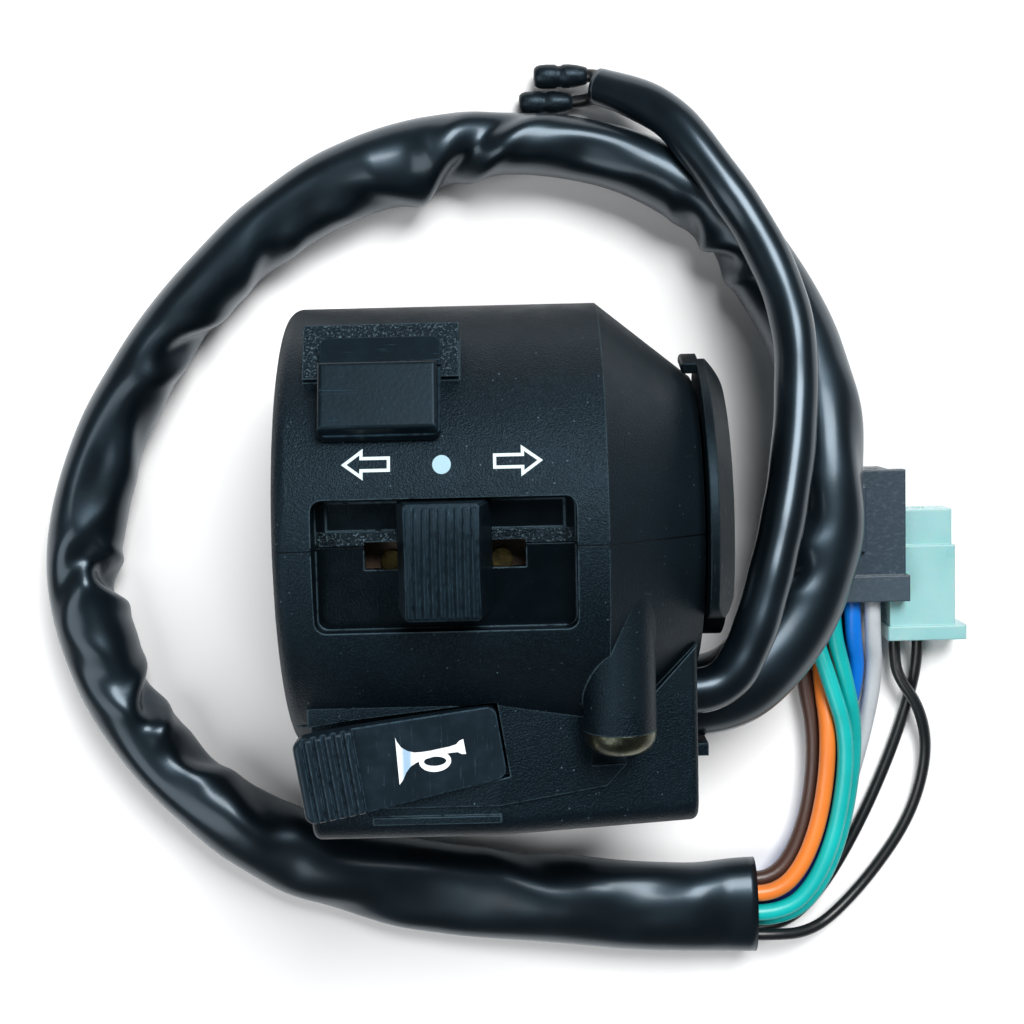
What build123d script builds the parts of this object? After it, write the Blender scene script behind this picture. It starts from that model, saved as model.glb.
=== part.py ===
from build123d import *
from math import cos, hypot, pi, radians, sin, sqrt, tan
import os

# A handlebar switch cluster, in millimetres. X runs along the handlebar towards its inner end,
# Y points up the front of the housing, and Z points out of the controls. The origin is on the
# handlebar's axis, halfway along the housing, which lies on its flattened back.

# Clearances
slip = 0.05            # a pin in its hole, on the radius
gap = 0.3              # between neighbours that move or are only laid together
snug = 0.1             # between fixed neighbours
overrun = 1.0          # how far a cut runs past what it cuts

# Handlebar and housing body
bar_radius = 11.1
body_radius = 28.0
body_left = -25.0
cone_start = 13.2      # where the round body turns into the cone
cone_end = 25.0
cone_end_radius = 18.5
left_rounding = 1.7
wall = 2.2
thin_floor = 0.6       # what stays under a pocket in a small piece
saddle_wall = 1.6      # the half tubes that grip the bar
back_depth = 24.0      # from the bar's axis to the flat back

# Lower box, in front of and below the bar
box_left = -22.4
box_right = 24.3
box_top = -19.3
box_bottom = -36.0
box_back = -14.0
box_front = 19.6       # height of its front face left of the bar's middle
box_slope = 12.4       # degrees, how far the front face falls away to the right
box_lip_rounding = 3.0
box_edge_rounding = 1.0
shoulder_x = 19.0      # where the box's top edge climbs to the right
shoulder_top = -13.8
panel_rise = 0.5       # raised panel on the front face
panel_right = 15.4
panel_bottom_left = -31.6
panel_bottom_right = -30.2
panel_corner = 2.5
ledge_length = 15.2    # moulded ledge under the panel
ledge_height = 0.9
ledge_rise = 1.0
ledge_left = -15.0
ledge_y = -33.2

# Screws that pull the halves together, and what they turn into
boss_radius = 4.3
boss_foot = -22.6
front_screw_x = 14.4
front_screw_z = 20.6
rear_screw_x = -14.0
rear_screw_z = -18.6
rear_boss_foot = -18.0
screw_radius = 2.5
screw_length = 31.0
head_radius = 4.3
head_height = 2.8
recess_width = 1.0
recess_span = 4.6
recess_depth = 1.5
insert_radius = 3.5
insert_length = 7.0
insert_start = 1.6
peg_radius = 1.5
peg_length = 5.0
peg_x = 6.0
peg_z = -18.6

# Turn signal switch
turn_x = -5.5
turn_y = -1.1
turn_travel = 6.5
window_left = -20.4
window_right = 9.6
window_bottom = -9.6
window_top = 5.7
window_corner = 1.3
floor_z = 23.5
floor_wall = 1.6
strip_height = 1.8     # textured strip along the parting line
strip_rise = 0.3
stem_width = 5.0
stem_height = 2.6
turn_knob_width = 10.9
turn_knob_front = 8.1
turn_knob_height = 13.0
turn_knob_top = 33.2
turn_knob_crown = 26.0  # radius of the knob's domed front
turn_knob_edge = 0.7
ridge_count = 9
ridge_pitch = 0.9
ridge_width = 0.5
ridge_depth = 0.45
carrier_width = 10.0
carrier_height = 8.6
carrier_thickness = 2.6
bridge_width = 6.0     # the moving contact
bridge_height = 2.4
contact_thickness = 0.7
contact_drop = 1.0     # how far the fixed contacts stand out of their base
rivet_radius = 1.3
rivet_pitch = 6.5
rivet_tail = 0.7
base_height = 10.4
base_thickness = 1.8
base_screw_pitch = window_right - window_left - 2 * window_corner
base_screw_radius = 1.0
base_screw_head_radius = 1.9
base_length = base_screw_pitch + 2 * base_screw_head_radius
base_screw_head = 1.1
base_screw_grip = 3.0
base_boss_radius = 1.9
ball_radius = 1.2
ball_offset = 2.6      # the ball sits above the contacts, away from the bridge
spring_wall = 0.35
dimple_depth = 0.3

# Dimmer switch, on a raised pad that leans back
dimmer_x = -12.5
dimmer_lean = 30.0     # degrees
dimmer_travel = 3.0
pad_width = 18.1
pad_foot = 6.0         # along the lean, from the foot of the pad's normal
pad_head = 13.2
pad_lift = 0.2
dimmer_plate_left = -19.4
dimmer_plate_right = -5.5
dimmer_plate_foot = -2.3
dimmer_plate_head = 10.6
dimmer_plate_thickness = 1.1
dimmer_block_left = -19.3
dimmer_block_right = -5.8
dimmer_block_foot = -2.1
dimmer_block_head = 6.3
dimmer_block_low = 3.0
dimmer_block_high = 4.3
dimmer_groove = 0.5
dimmer_edge = 0.5
dimmer_stem_width = 6.0
dimmer_stem_foot = 2.8
dimmer_stem_length = 3.6
dimmer_pocket = 2.5    # depth under the pad at which the carrier slides
dimmer_carrier_width = 10.0
dimmer_carrier_length = 7.6
dimmer_carrier_thickness = 2.4
dimmer_base_length = 20.0
dimmer_base_width = 9.4
dimmer_screw_pitch = 16.4

# Horn paddle, turned a little in the plane of the front
horn_x = -1.2
horn_y = -23.9
horn_pivot_z = 16.2
horn_turn = 8.6        # degrees
horn_nose = 1.6        # the paddle's end past its pivot
horn_length = 22.1
horn_rib_start = 15.2
horn_nose_width = 8.6
horn_tip_width = 10.1
horn_nose_top = 20.9
horn_rib_top = 23.4
horn_rib_rise = 0.9
horn_thickness = 2.2
horn_corner = 1.2
horn_tip_corner = 0.6
horn_groove_count = 5
horn_groove_pitch = 1.15
horn_groove_width = 0.45
horn_groove_depth = 0.6
horn_pocket_floor = 17.0
horn_pocket_wall = 1.8
horn_hatch_length = 10.4
horn_hatch_width = 7.6
horn_lug_width = 6.6
horn_lug_radius = 2.2
horn_pin_radius = 1.0
horn_pin_length = 11.6
horn_block_width = 2.6
horn_block_length = 4.4
horn_block_top = 18.1
horn_block_foot = 13.8
horn_plunger_place = 7.0
horn_plunger_length = 3.0
horn_plunger_foot = 13.4
horn_contact_gap = 1.3
horn_base_length = 15.0
horn_base_width = 15.8
horn_base_start = -3.0
horn_rivet_spread = 5.0
horn_post_radius = 1.9
horn_post_spread = 12.0
horn_spring_place = 12.2
horn_spring_radius = 1.9
horn_spring_gauge = 0.4

# Choke lever round the bar at the inner end
lever_bore_radius = 11.5
lever_neck_radius = 13.2
lever_flange_radius = 15.2
lever_flange_start = 20.6
lever_flange_thickness = 1.4
washer_thickness = 0.6
lever_gap = 0.3
lever_thickness = 3.1
lever_hub_radius = 14.6
lever_rim_radius = 21.6
lever_rim_end_radius = 19.0
lever_low_angle = -34.0   # degrees above the parting plane, seen along the bar
lever_high_angle = 84.0
lever_round = 4.0
lever_crown = 5.0         # radius that rounds off the thumb flange's outer face
lever_crown_low = -11.9
lever_crown_high = 21.8
lever_tab_reach = 1.9
lever_tab_thickness = 1.3
lever_tab_angle = 12.0

# Harness exit
harness_y = -23.5
harness_z = -3.0
clutch_exit_y = -21.0
clutch_exit_z = 6.5
grommet_wall = 1.0
grommet_flange = 1.2
grommet_flange_thickness = 1.6
grommet_inside = box_right - wall - grommet_flange_thickness
tab_reach = 2.7         # small hook under the cords
tab_top = -29.0
tab_thickness = 1.6
tab_depth = 5.0
sleeve_diameter = 10.5
clutch_sleeve_diameter = 5.5
wire_diameter = 2.3
thin_wire_diameter = 1.6
inner_wire_diameter = 2.6
turn_wires_x = 8.9
turn_wires_y = -4.5
dimmer_wires_x = 4.2
dimmer_wires_y = -1.9
horn_wires_x = -4.5
ground = -back_depth
arc_share = 0.45       # of the shorter run beside a corner

# Connectors
black_left = 42.2
black_right = 54.4
black_ledge_right = 56.4
black_foot = -13.4
black_head = 4.8
black_top = -15.6
black_ledge = 2.0
black_lip_length = 3.6
black_lip_rise = 0.5
latch_width = 5.0
latch_length = 9.0
latch_rise = 0.9
pale_left = 54.7
pale_right = 63.8
pale_foot = -17.3
pale_head = -1.0
pale_top = -17.9
pale_flange_left = 54.4
pale_flange_right = 65.4
pale_flange_length = 2.0
pale_flange_rise = 0.4
pale_nose = 5.0
cavity_size = 1.7
cavity_depth = 6.0
terminal_size = 1.2
terminal_bore = 0.6
terminal_set_back = 1.2
boot_radius = 1.65
boot_length = 7.4
boot_nose = 1.3
boot_wire_radius = 0.9
lead_offset = 1.15
wire_drop = 2.6
boot_mouth_radius = 0.9
boot_mouth_depth = 2.5

# Routes of the cords, as points chosen by hand
main_route = [
    (box_right, harness_y, harness_z), (29.3, harness_y, harness_z), (35.2, -19.2, -4.2),
    (40.6, -12.2, -6.0), (43.6, -2.4, -7.1),
    (44.2, 9.0, -8.6), (42.9, 21.0, -14.0), (38.2, 33.0, -18.6), (28.7, 43.6, -18.75),
    (14.5, 49.8, -18.7), (-3.0, 50.6, -18.75), (-20.4, 46.4, -18.7), (-36.0, 36.4, -18.75),
    (-48.6, 21.6, -18.7), (-56.4, 5.2, -18.75), (-58.8, -9.0, -18.7), (-54.2, -24.4, -18.75),
    (-43.6, -38.4, -18.7), (-28.0, -49.0, -18.75), (-9.6, -54.0, -18.7), (7.0, -55.4, -18.75),
    (22.0, -57.3, -18.75), (35.5, -57.3, -18.75)]
clutch_route = [
    (box_right, clutch_exit_y, clutch_exit_z), (28.4, clutch_exit_y, clutch_exit_z), (32.2, -14.8, 5.6),
    (34.9, -6.4, 4.2), (37.4, 2.8, 2.0),
    (39.2, 13.8, -1.2), (39.8, 25.4, -5.6), (36.0, 36.4, -9.0), (29.2, 46.8, -11.0),
    (23.2, 55.2, -14.8), (15.4, 58.2, -20.2)]
wire_routes = {
    "wire_brown": [(35.5, -53.3, -18.75), (37.7, -53.3, -18.75), (41.0, -50.2, -19.4),
                   (43.8, -43.0, -20.4), (44.7, -33.0, -20.8), (43.0, -24.4, -21.6),
                   (43.3, -17.6, -21.8), (43.3, black_foot, -21.8)],
    "wire_orange": [(35.5, -54.6, -16.4), (38.4, -54.6, -16.4), (42.2, -50.8, -16.9),
                    (45.0, -43.4, -17.7), (46.2, -33.0, -18.2), (45.3, -24.4, -20.6),
                    (46.0, -17.6, -21.8), (46.0, black_foot, -21.8)],
    "wire_teal_upper": [(35.5, -57.4, -16.4), (39.7, -57.4, -16.4), (44.2, -53.0, -16.9),
                        (47.4, -44.6, -17.5), (48.7, -33.0, -17.4), (46.0, -24.4, -17.2),
                        (43.9, -17.6, -18.2), (43.9, black_foot, -18.2)],
    "wire_navy": [(35.5, -56.1, -18.75), (39.0, -56.1, -18.75), (43.0, -52.4, -19.3),
                  (46.2, -44.4, -20.2), (47.3, -33.0, -20.6), (47.9, -24.4, -21.6),
                  (48.7, -17.6, -21.8), (48.7, black_foot, -21.8)],
    "wire_teal_lower": [(35.5, -58.9, -18.75), (40.4, -58.9, -18.75), (45.0, -54.6, -19.3),
                        (48.6, -46.0, -20.1), (50.3, -33.0, -20.0), (48.5, -24.4, -18.7),
                        (46.7, -17.6, -18.2), (46.7, black_foot, -18.2)],
    "wire_blue": [(35.5, -54.6, -21.1), (38.4, -54.6, -21.1), (42.2, -50.8, -21.8),
                  (45.6, -43.4, -22.8), (48.8, -33.0, -22.85), (50.9, -24.4, -21.6),
                  (49.5, -17.6, -18.2), (49.5, black_foot, -18.2)],
    "wire_white": [(35.5, -57.4, -21.1), (39.9, -57.4, -21.1), (44.4, -53.2, -21.9),
                   (48.6, -44.6, -22.8), (52.0, -33.0, -22.8), (53.4, -24.4, -21.8),
                   (52.3, -17.6, -18.2), (52.3, black_foot, -18.2)]}
thin_routes = {
    "wire_black_inner": [(35.5, -60.7, -19.9), (39.4, -60.7, -19.9), (45.2, -56.6, -22.2),
                         (50.6, -48.2, -23.15), (55.2, -38.0, -23.0), (58.4, -28.8, -23.1),
                         (59.4, -22.6, -21.6), (59.4, -19.3, -21.6)],
    "wire_black_outer": [(35.5, -61.0, -17.6), (38.0, -61.1, -17.6), (42.6, -61.4, -19.2), (46.8, -59.9, -21.2),
                         (53.2, -53.9, -23.0), (58.8, -45.6, -23.1), (61.0, -36.6, -22.4),
                         (59.6, -29.6, -20.7), (56.4, -25.0, -20.7), (56.0, -22.0, -21.2),
                         (56.0, -19.3, -21.2)]}
turn_wires_route = [(6.0, -11.4, 10.4), (9.6, -17.6, 5.2), (14.4, -22.8, -0.4), (17.9, -24.7, -1.4),
                    (grommet_inside, -24.7, -1.4)]
dimmer_wires_route = [(-6.4, 10.2, 12.4), (-1.5, 9.4, 13.2), (6.5, 7.6, 13.9), (13.0, 2.4, 14.3), (16.4, -5.6, 14.0),
                      (17.6, -13.6, 9.0), (17.0, -20.2, 2.4), (18.0, -21.9, -1.2),
                      (grommet_inside, -21.9, -1.2)]
horn_wires_route = [(3.6, -25.0, 1.4), (9.2, -23.8, -2.4), (15.6, -23.2, -5.2),
                    (grommet_inside, -23.2, -5.2)]
boot_starts = [(14.0, 59.9, -21.6), (11.9, 56.4, -22.2)]


def block(x, y, z):
    """A box given by its lowest and highest place along each axis."""
    size = [abs(high - low) for low, high in (x, y, z)]
    centre = [(low + high) / 2 for low, high in (x, y, z)]
    return Pos(*centre) * Box(*size)


def about(centre, size):
    """The two ends of a length about its centre."""
    return (centre - size / 2, centre + size / 2)


def joined(shapes):
    """One shape from several."""
    whole = shapes[0]
    for shape in shapes[1:]:
        whole = whole + shape
    return whole


def rod(start, along, radius, length):
    """A cylinder that starts at a point and runs along a direction."""
    place = Plane(origin=start, z_dir=along)
    return place.location * Cylinder(radius, length, align=(Align.CENTER, Align.CENTER, Align.MIN))


def turned(profile):
    """A solid turned about the bar's axis from points (along the bar, radius)."""
    face = Face(Wire.make_polygon([(x, 0, radius) for x, radius in profile], close=True))
    return revolve(face, Axis.X)


def ring(start, length, inner, outer):
    """A ring about the bar's axis."""
    return turned([(start, inner), (start, outer), (start + length, outer), (start + length, inner)])


def prism(points, low, high):
    """An outline in the front plane, drawn out between two heights."""
    face = Face(Wire.make_polygon([(x, y, low) for x, y in points], close=True))
    return extrude(face, high - low, dir=(0, 0, 1))


def export(name, shape):
    """Write one node as its own file."""
    if isinstance(shape, list):
        shape = Compound(children=shape)
    shape.label = name
    export_step(shape, os.path.join("parts", name + ".step"))


def front_plane(x, rise=0.0):
    """Height of the box's front face at a place along the bar."""
    return box_front + rise - max(x, 0) * tan(radians(box_slope))


# Housing

def body_outside():
    """The round body and its cone, as turned, with its back cut flat."""
    shape = turned([(body_left, 0), (body_left, body_radius), (cone_start, body_radius),
                    (cone_end, cone_end_radius), (cone_end, 0)])
    left_edge = shape.edges().filter_by(GeomType.CIRCLE).sort_by(Axis.X)[0]
    shape = fillet(left_edge, left_rounding)
    return shape & block((body_left, cone_end), (-body_radius, body_radius), (-back_depth, body_radius))


def body_inside():
    """The room inside the round body, behind one wall's thickness."""
    fall = (cone_end_radius - body_radius) / (cone_end - cone_start)
    slant_wall = wall * sqrt(1 + fall * fall)
    start = cone_start + (slant_wall - wall) / fall
    end = cone_end - wall
    end_radius = body_radius - slant_wall + fall * (end - cone_start)
    left = body_left + wall
    inside_radius = body_radius - wall
    room = turned([(left, 0), (left, inside_radius), (start, inside_radius), (end, end_radius), (end, 0)])
    return room & block((left, end), (-body_radius, body_radius), (wall - back_depth, body_radius))


def box_profile(inset=0.0, rise=0.0):
    """The box seen along Y, drawn in by an inset on every side."""
    left = box_left + inset
    right = box_right - inset
    back = box_back + inset
    top = box_front + rise - inset
    points = [(left, back), (right, back), (right, front_plane(right, rise) - inset), (0, top), (left, top)]
    face = Face(Wire.make_polygon([(x, box_bottom, z) for x, z in points], close=True))
    return extrude(face, shoulder_top - box_bottom, dir=(0, 1, 0))


def box_outline(inset=0.0):
    """The box seen from the front, drawn in by an inset on its free sides."""
    return [(box_left + inset, box_top), (box_left + inset, box_bottom + inset),
            (box_right - inset, box_bottom + inset), (box_right - inset, shoulder_top - inset),
            (shoulder_x + inset / 2, box_top - inset / 2)]


def box_outside():
    """The box that stands forward of the lower half."""
    shape = prism(box_outline(), box_back, body_radius) & box_profile()
    lip = [edge for edge in shape.edges().group_by(Axis.Y)[0]
           if edge.center().Z > bar_radius and box_left < edge.center().X < box_right
           and edge.length > box_lip_rounding and abs(edge.bounding_box().size.X) > box_lip_rounding]
    shape = fillet(lip, box_lip_rounding)
    uprights = [edge for edge in shape.edges().filter_by(Axis.Z) if edge.center().Y < box_top - wall]
    return fillet(uprights, box_edge_rounding)


def box_inside():
    """The room in the box, open to the round body above it."""
    return prism(box_outline(wall), box_back + wall, body_radius) & box_profile(wall)


def front_panel():
    """The raised panel that the horn paddle lies in."""
    corner = panel_corner
    points = [(box_left, box_top), (box_left, panel_bottom_left), (0, panel_bottom_left),
              (panel_right - corner, panel_bottom_right), (panel_right, panel_bottom_right + corner),
              (panel_right, box_top)]
    return prism(points, box_back, body_radius) & box_profile(0, panel_rise)


def ledge():
    """The moulded ledge under the panel."""
    return block((ledge_left, ledge_left + ledge_length), about(ledge_y, ledge_height),
                 (box_front - ledge_rise, box_front + ledge_rise / 2))


def bar_saddle():
    """The tube that grips the bar, before it is split."""
    return ring(body_left, lever_flange_start - gap - body_left, bar_radius, bar_radius + saddle_wall)


def bar_room():
    """The handlebar's own room, with nothing left in its way."""
    return ring(body_left - overrun, cone_end - body_left + 2 * overrun, 0, bar_radius)


def window_tray():
    """The floor and walls behind the turn switch's window."""
    tray = block((window_left - floor_wall, window_right + floor_wall),
                 (window_bottom - floor_wall, window_top + floor_wall),
                 (floor_z - floor_wall, body_radius))
    return tray & body_outside()


def window_cut():
    """The window, its recess and the slot for the knob's stem."""
    recess = block((window_left, window_right), (window_bottom, window_top), (floor_z, body_radius + overrun))
    recess = fillet(recess.edges().filter_by(Axis.Z), window_corner)
    upper = block((window_left + window_corner, window_right - window_corner),
                  (strip_height, window_top - window_corner / 2), (floor_z - strip_rise, floor_z + gap))
    slot = block(about(turn_x, stem_width + 2 * (turn_travel + gap)), about(turn_y, stem_height + 2 * gap),
                 (floor_z - floor_wall - overrun, floor_z + gap))
    return recess + upper + slot


def upper_half_space():
    """Everything above the parting plane."""
    return block((body_left - overrun, cone_end + overrun), (0, 2 * body_radius),
                 (-body_radius, 2 * body_radius))


def lower_half_space():
    """Everything below the parting plane."""
    return block((body_left - overrun, cone_end + overrun), (-2 * body_radius, 0),
                 (-body_radius, 2 * body_radius))


def housing_screw_places():
    """Both housing screws: along the bar, height, and where the head sits."""
    return [(front_screw_x, front_screw_z, boss_foot), (rear_screw_x, rear_screw_z, rear_boss_foot)]


def screw_clearance():
    """Holes for the screws, their heads and their inserts."""
    cuts = []
    for x, z, foot in housing_screw_places():
        head_room = head_height + wall
        cuts.append(rod((x, foot - overrun, z), (0, 1, 0), screw_radius + snug, screw_length + 2 * overrun))
        cuts.append(rod((x, foot - head_room, z), (0, 1, 0), head_radius + snug, head_room))
        cuts.append(rod((x, insert_start, z), (0, 1, 0), insert_radius, insert_length))
    return joined(cuts)


def lever_room():
    """The room for the choke lever's neck and flange."""
    neck = ring(lever_flange_start, cone_end + overrun - lever_flange_start, 0, lever_neck_radius + gap)
    flange = ring(lever_flange_start - gap, cone_end - wall - lever_flange_start + gap, 0,
                  lever_flange_radius + gap)
    return neck + flange


def upper_housing():
    """The upper half, with the dimmer's pad."""
    posts = joined([rod((x, 0, z), (0, 1, 0), boss_radius, insert_start + insert_length + wall)
                    for x, z, foot in housing_screw_places()])
    posts = posts + rod((peg_x, 0, peg_z), (0, 1, 0), peg_radius + wall, peg_length)
    shape = body_outside() - body_inside() + bar_saddle() + window_tray() + (posts & body_outside())
    shape = shape & upper_half_space()
    shape = shape + (dimmer_pad() - body_inside()) + dimmer_bosses()
    shape = shape - dimmer_slot_cut() - window_cut() - screw_clearance() - lever_room() - bar_room()
    shape = shape - screw_holes(dimmer_screw_places(), lean_out())
    return shape + rod((peg_x, -peg_length, peg_z), (0, 1, 0), peg_radius, 2 * peg_length)


def lower_housing():
    """The lower half, with the box, the screw boss and the horn's pocket."""
    outside = body_outside() + box_outside() + front_panel() + ledge()
    posts = [rod((front_screw_x, boss_foot, front_screw_z), (0, 1, 0), boss_radius, -boss_foot),
             rod((rear_screw_x, -body_radius, rear_screw_z), (0, 1, 0), boss_radius, body_radius)
             & body_outside(),
             rod((peg_x, -peg_length - wall, peg_z), (0, 1, 0), peg_radius + wall, peg_length + wall)]
    shape = outside - (body_inside() - horn_seat()) - (box_inside() - horn_seat())
    shape = shape + bar_saddle() + window_tray() + joined(posts)
    shape = shape & lower_half_space()
    shape = shape + turn_bosses() + horn_posts()
    shape = shape - horn_pocket() - window_cut() - screw_clearance() - lever_room() - bar_room()
    shape = shape + horn_pin_posts() + cord_hook() - horn_pin_cylinder(slip)
    shape = shape - screw_holes(turn_screw_places(), (0, 0, 1))
    shape = shape - screw_holes(horn_post_places(), (0, 0, 1))
    shape = shape - grommet_lobes(grommet_wall, box_right - wall - overrun, wall + 2 * overrun)
    flange = grommet_wall + grommet_flange + slip
    shape = shape - grommet_lobes(flange, grommet_inside - gap, box_right - wall - grommet_inside + gap)
    return shape - rod((peg_x, -peg_length - gap, peg_z), (0, 1, 0), peg_radius + slip, peg_length + overrun)


def cord_hook():
    """The small hook that the cords lie against where they leave."""
    return block((box_right - wall / 2, box_right + tab_reach), (tab_top - tab_thickness, tab_top),
                 about(harness_z / 2, tab_depth))


def housing_screws():
    """Two cross-headed screws, as one group."""
    group = []
    for x, z, foot in housing_screw_places():
        shank = rod((x, foot, z), (0, 1, 0), screw_radius, screw_length)
        head = rod((x, foot - head_height, z), (0, 1, 0), head_radius, head_height)
        head = fillet(head.edges().group_by(Axis.Y)[0], head_height - gap)
        for angle in (0, 90):
            bar = Rot(0, angle, 0) * Box(recess_span, 2 * recess_depth, recess_width)
            head = head - Pos(x, foot - head_height, z) * bar
        group.append(shank + head)
    return group


def screw_inserts():
    """The two threaded inserts in the upper half."""
    return [rod((x, insert_start, z), (0, 1, 0), insert_radius, insert_length)
            - rod((x, insert_start - overrun, z), (0, 1, 0), screw_radius + slip, insert_length + 2 * overrun)
            for x, z, foot in housing_screw_places()]


# Switch parts that the turn signal and dimmer switches share, made flat on a frame of their own:
# across the front, along the switch, and out of the front

def base_plate(place, size, screws, rivets, dimples):
    """An insulating plate drilled for its screws and rivets, with dimples for the detent ball."""
    length, height = size
    plate = block(about(0, length), about(0, height), (-base_thickness, 0))
    for x, y in screws:
        plate = plate - rod((x, y, overrun), (0, 0, -1), base_screw_radius + slip, base_thickness + 2 * overrun)
    for x, y in rivets:
        plate = plate - rod((x, y, overrun), (0, 0, -1), rivet_radius / 2 + slip, base_thickness + 2 * overrun)
    for x, y in dimples:
        plate = plate - Pos(x, y, ball_radius - dimple_depth) * Sphere(ball_radius)
    return place.location * plate


def rivet_group(place, rivets):
    """Brass contacts riveted through the plate, one solid each."""
    group = []
    for x, y in rivets:
        head = rod((x, y, 0), (0, 0, 1), rivet_radius, contact_drop - slip)
        shank = rod((x, y, 0), (0, 0, -1), rivet_radius / 2, base_thickness)
        tail = rod((x, y, -base_thickness), (0, 0, -1), rivet_radius, rivet_tail)
        group.append(place.location * (head + shank + tail))
    return group


def base_screws(place, screws):
    """Self-tapping screws that hold a contact base, as one group."""
    group = []
    for x, y in screws:
        shank = rod((x, y, -base_thickness), (0, 0, 1), base_screw_radius, base_thickness + base_screw_grip)
        head = rod((x, y, -base_thickness), (0, 0, -1), base_screw_head_radius, base_screw_head)
        slot = Pos(x, y, -base_thickness - base_screw_head) * Box(
            2 * base_screw_head_radius, thin_floor, base_screw_head)
        group.append(place.location * (shank + (head - slot)))
    return group


def detent_ball(place, x, y):
    """The ball that holds the slide in its positions."""
    return place.location * (Pos(x, y, ball_radius + slip) * Sphere(ball_radius))


def detent_pocket(x, y, depth):
    """The blind hole in a carrier for its ball and spring."""
    level = contact_drop + contact_thickness
    return rod((x, y, level - overrun), (0, 0, 1), ball_radius + slip, depth + overrun)


def detent_spring(place, x, y, depth):
    """The small spring between the ball and the end of its hole."""
    low = 2 * ball_radius + 2 * slip
    high = contact_drop + contact_thickness + depth
    tube = rod((x, y, low), (0, 0, 1), ball_radius, high - low)
    return place.location * (tube - rod((x, y, low - overrun), (0, 0, 1), ball_radius - spring_wall,
                                        high - low + 2 * overrun))


# Turn signal switch

def turn_base_level():
    """Height of the turn switch's contact base, at its outer face."""
    return floor_z - floor_wall - gap - carrier_thickness - contact_drop - contact_thickness


def turn_frame():
    """The turn switch's frame, on the outer face of its contact base."""
    return Plane(origin=(turn_x, turn_y, turn_base_level()), x_dir=(1, 0, 0), z_dir=(0, 0, 1))


def turn_screws():
    """Screw places on the turn switch's frame."""
    return [(x, 0) for x in about(0, base_screw_pitch)]


def turn_rivets():
    """Fixed contacts of the turn switch: left, off and right."""
    return [(step * rivet_pitch, -bridge_height / 2) for step in (-1, 0, 1)]


def turn_screw_places():
    """The same screws in the housing's frame."""
    return [(turn_x + x, turn_y + y, turn_base_level()) for x, y in turn_screws()]


def turn_bosses():
    """Bosses under the window's floor, which the lower half carries."""
    under_floor = floor_z - floor_wall - snug - turn_base_level()
    whole = joined([rod(place, (0, 0, 1), base_boss_radius, under_floor) for place in turn_screw_places()])
    roots = joined([rod(place, (0, 0, 1), base_boss_radius, under_floor + wall / 2)
                    for place in turn_screw_places()])
    return whole + (roots & lower_half_space())


def turn_contact_base():
    dimples = [(step * turn_travel, ball_offset) for step in (-1, 0, 1)]
    return base_plate(turn_frame(), (base_length, base_height), turn_screws(), turn_rivets(), dimples)


def turn_carrier():
    """The slide behind the window, with the stem that comes out through the slot."""
    level = contact_drop + contact_thickness
    plate = block(about(0, carrier_width), about(0, carrier_height), (level, level + carrier_thickness))
    stem_top = turn_knob_top - turn_knob_edge - wall - turn_base_level()
    stem = block(about(0, stem_width), about(0, stem_height), (level, stem_top))
    pocket = detent_pocket(0, ball_offset, carrier_thickness - thin_floor)
    return turn_frame().location * (plate + stem - pocket)


def turn_moving_contact():
    return turn_frame().location * block(
        about(0, bridge_width), about(-bridge_height / 2, bridge_height),
        (contact_drop, contact_drop + contact_thickness))


def turn_knob():
    """The ribbed knob: drafted sides, a domed front and upright ridges."""
    base = floor_z + gap + snug
    crown_centre = turn_knob_top - turn_knob_crown
    dome = rod((turn_x - turn_knob_width, turn_y, crown_centre), (1, 0, 0), turn_knob_crown,
               2 * turn_knob_width)
    core_dome = rod((turn_x - turn_knob_width, turn_y, crown_centre), (1, 0, 0),
                    turn_knob_crown - ridge_depth, 2 * turn_knob_width)
    half_base = turn_knob_width / 2
    half_front = turn_knob_front / 2
    low = turn_y - turn_knob_height / 2
    outline = [(turn_x - half_base, low, base), (turn_x + half_base, low, base),
               (turn_x + half_front, low, turn_knob_top), (turn_x - half_front, low, turn_knob_top)]
    body = extrude(Face(Wire.make_polygon(outline, close=True)), turn_knob_height, dir=(0, 1, 0))
    body = fillet(body.edges().filter_by(Axis.Y).group_by(Axis.Z)[-1], turn_knob_edge)
    ends = body.edges().group_by(Axis.Y)
    body = chamfer([edge for edge in ends[0] + ends[-1] if edge.center().Z > turn_knob_top - turn_knob_edge],
                   turn_knob_edge / 2)
    ridges = joined([block(about(turn_x + (step - (ridge_count - 1) / 2) * ridge_pitch, ridge_width),
                           about(turn_y, turn_knob_height - 2 * ridge_depth), (base, turn_knob_top))
                     for step in range(ridge_count)])
    pocket = block(about(turn_x, stem_width + 2 * slip), about(turn_y, stem_height + 2 * slip),
                   (base, turn_knob_top - turn_knob_edge - wall + slip))
    return (body & core_dome) + (body & dome & ridges) - pocket


# Dimmer switch

def lean_out():
    """The direction that the dimmer's pad faces."""
    tilt = radians(dimmer_lean)
    return (0, sin(tilt), cos(tilt))


def lean_frame(level=0.0):
    """The dimmer's frame at the foot of the pad's normal, at a height over the pad."""
    reach = body_radius + pad_lift + level
    tilt = radians(dimmer_lean)
    return Plane(origin=(0, reach * sin(tilt), reach * cos(tilt)), x_dir=(1, 0, 0), z_dir=lean_out())


def leaning(x, v, n):
    """A box on the dimmer's frame: along the bar, up the lean, and out of the pad."""
    return lean_frame().location * block(x, v, n)


def dimmer_level():
    """The outer face of the dimmer's contact base, over the pad."""
    return -dimmer_pocket - gap - dimmer_carrier_thickness - contact_drop - contact_thickness


def dimmer_stem_middle():
    return dimmer_stem_foot + dimmer_stem_length / 2


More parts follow.
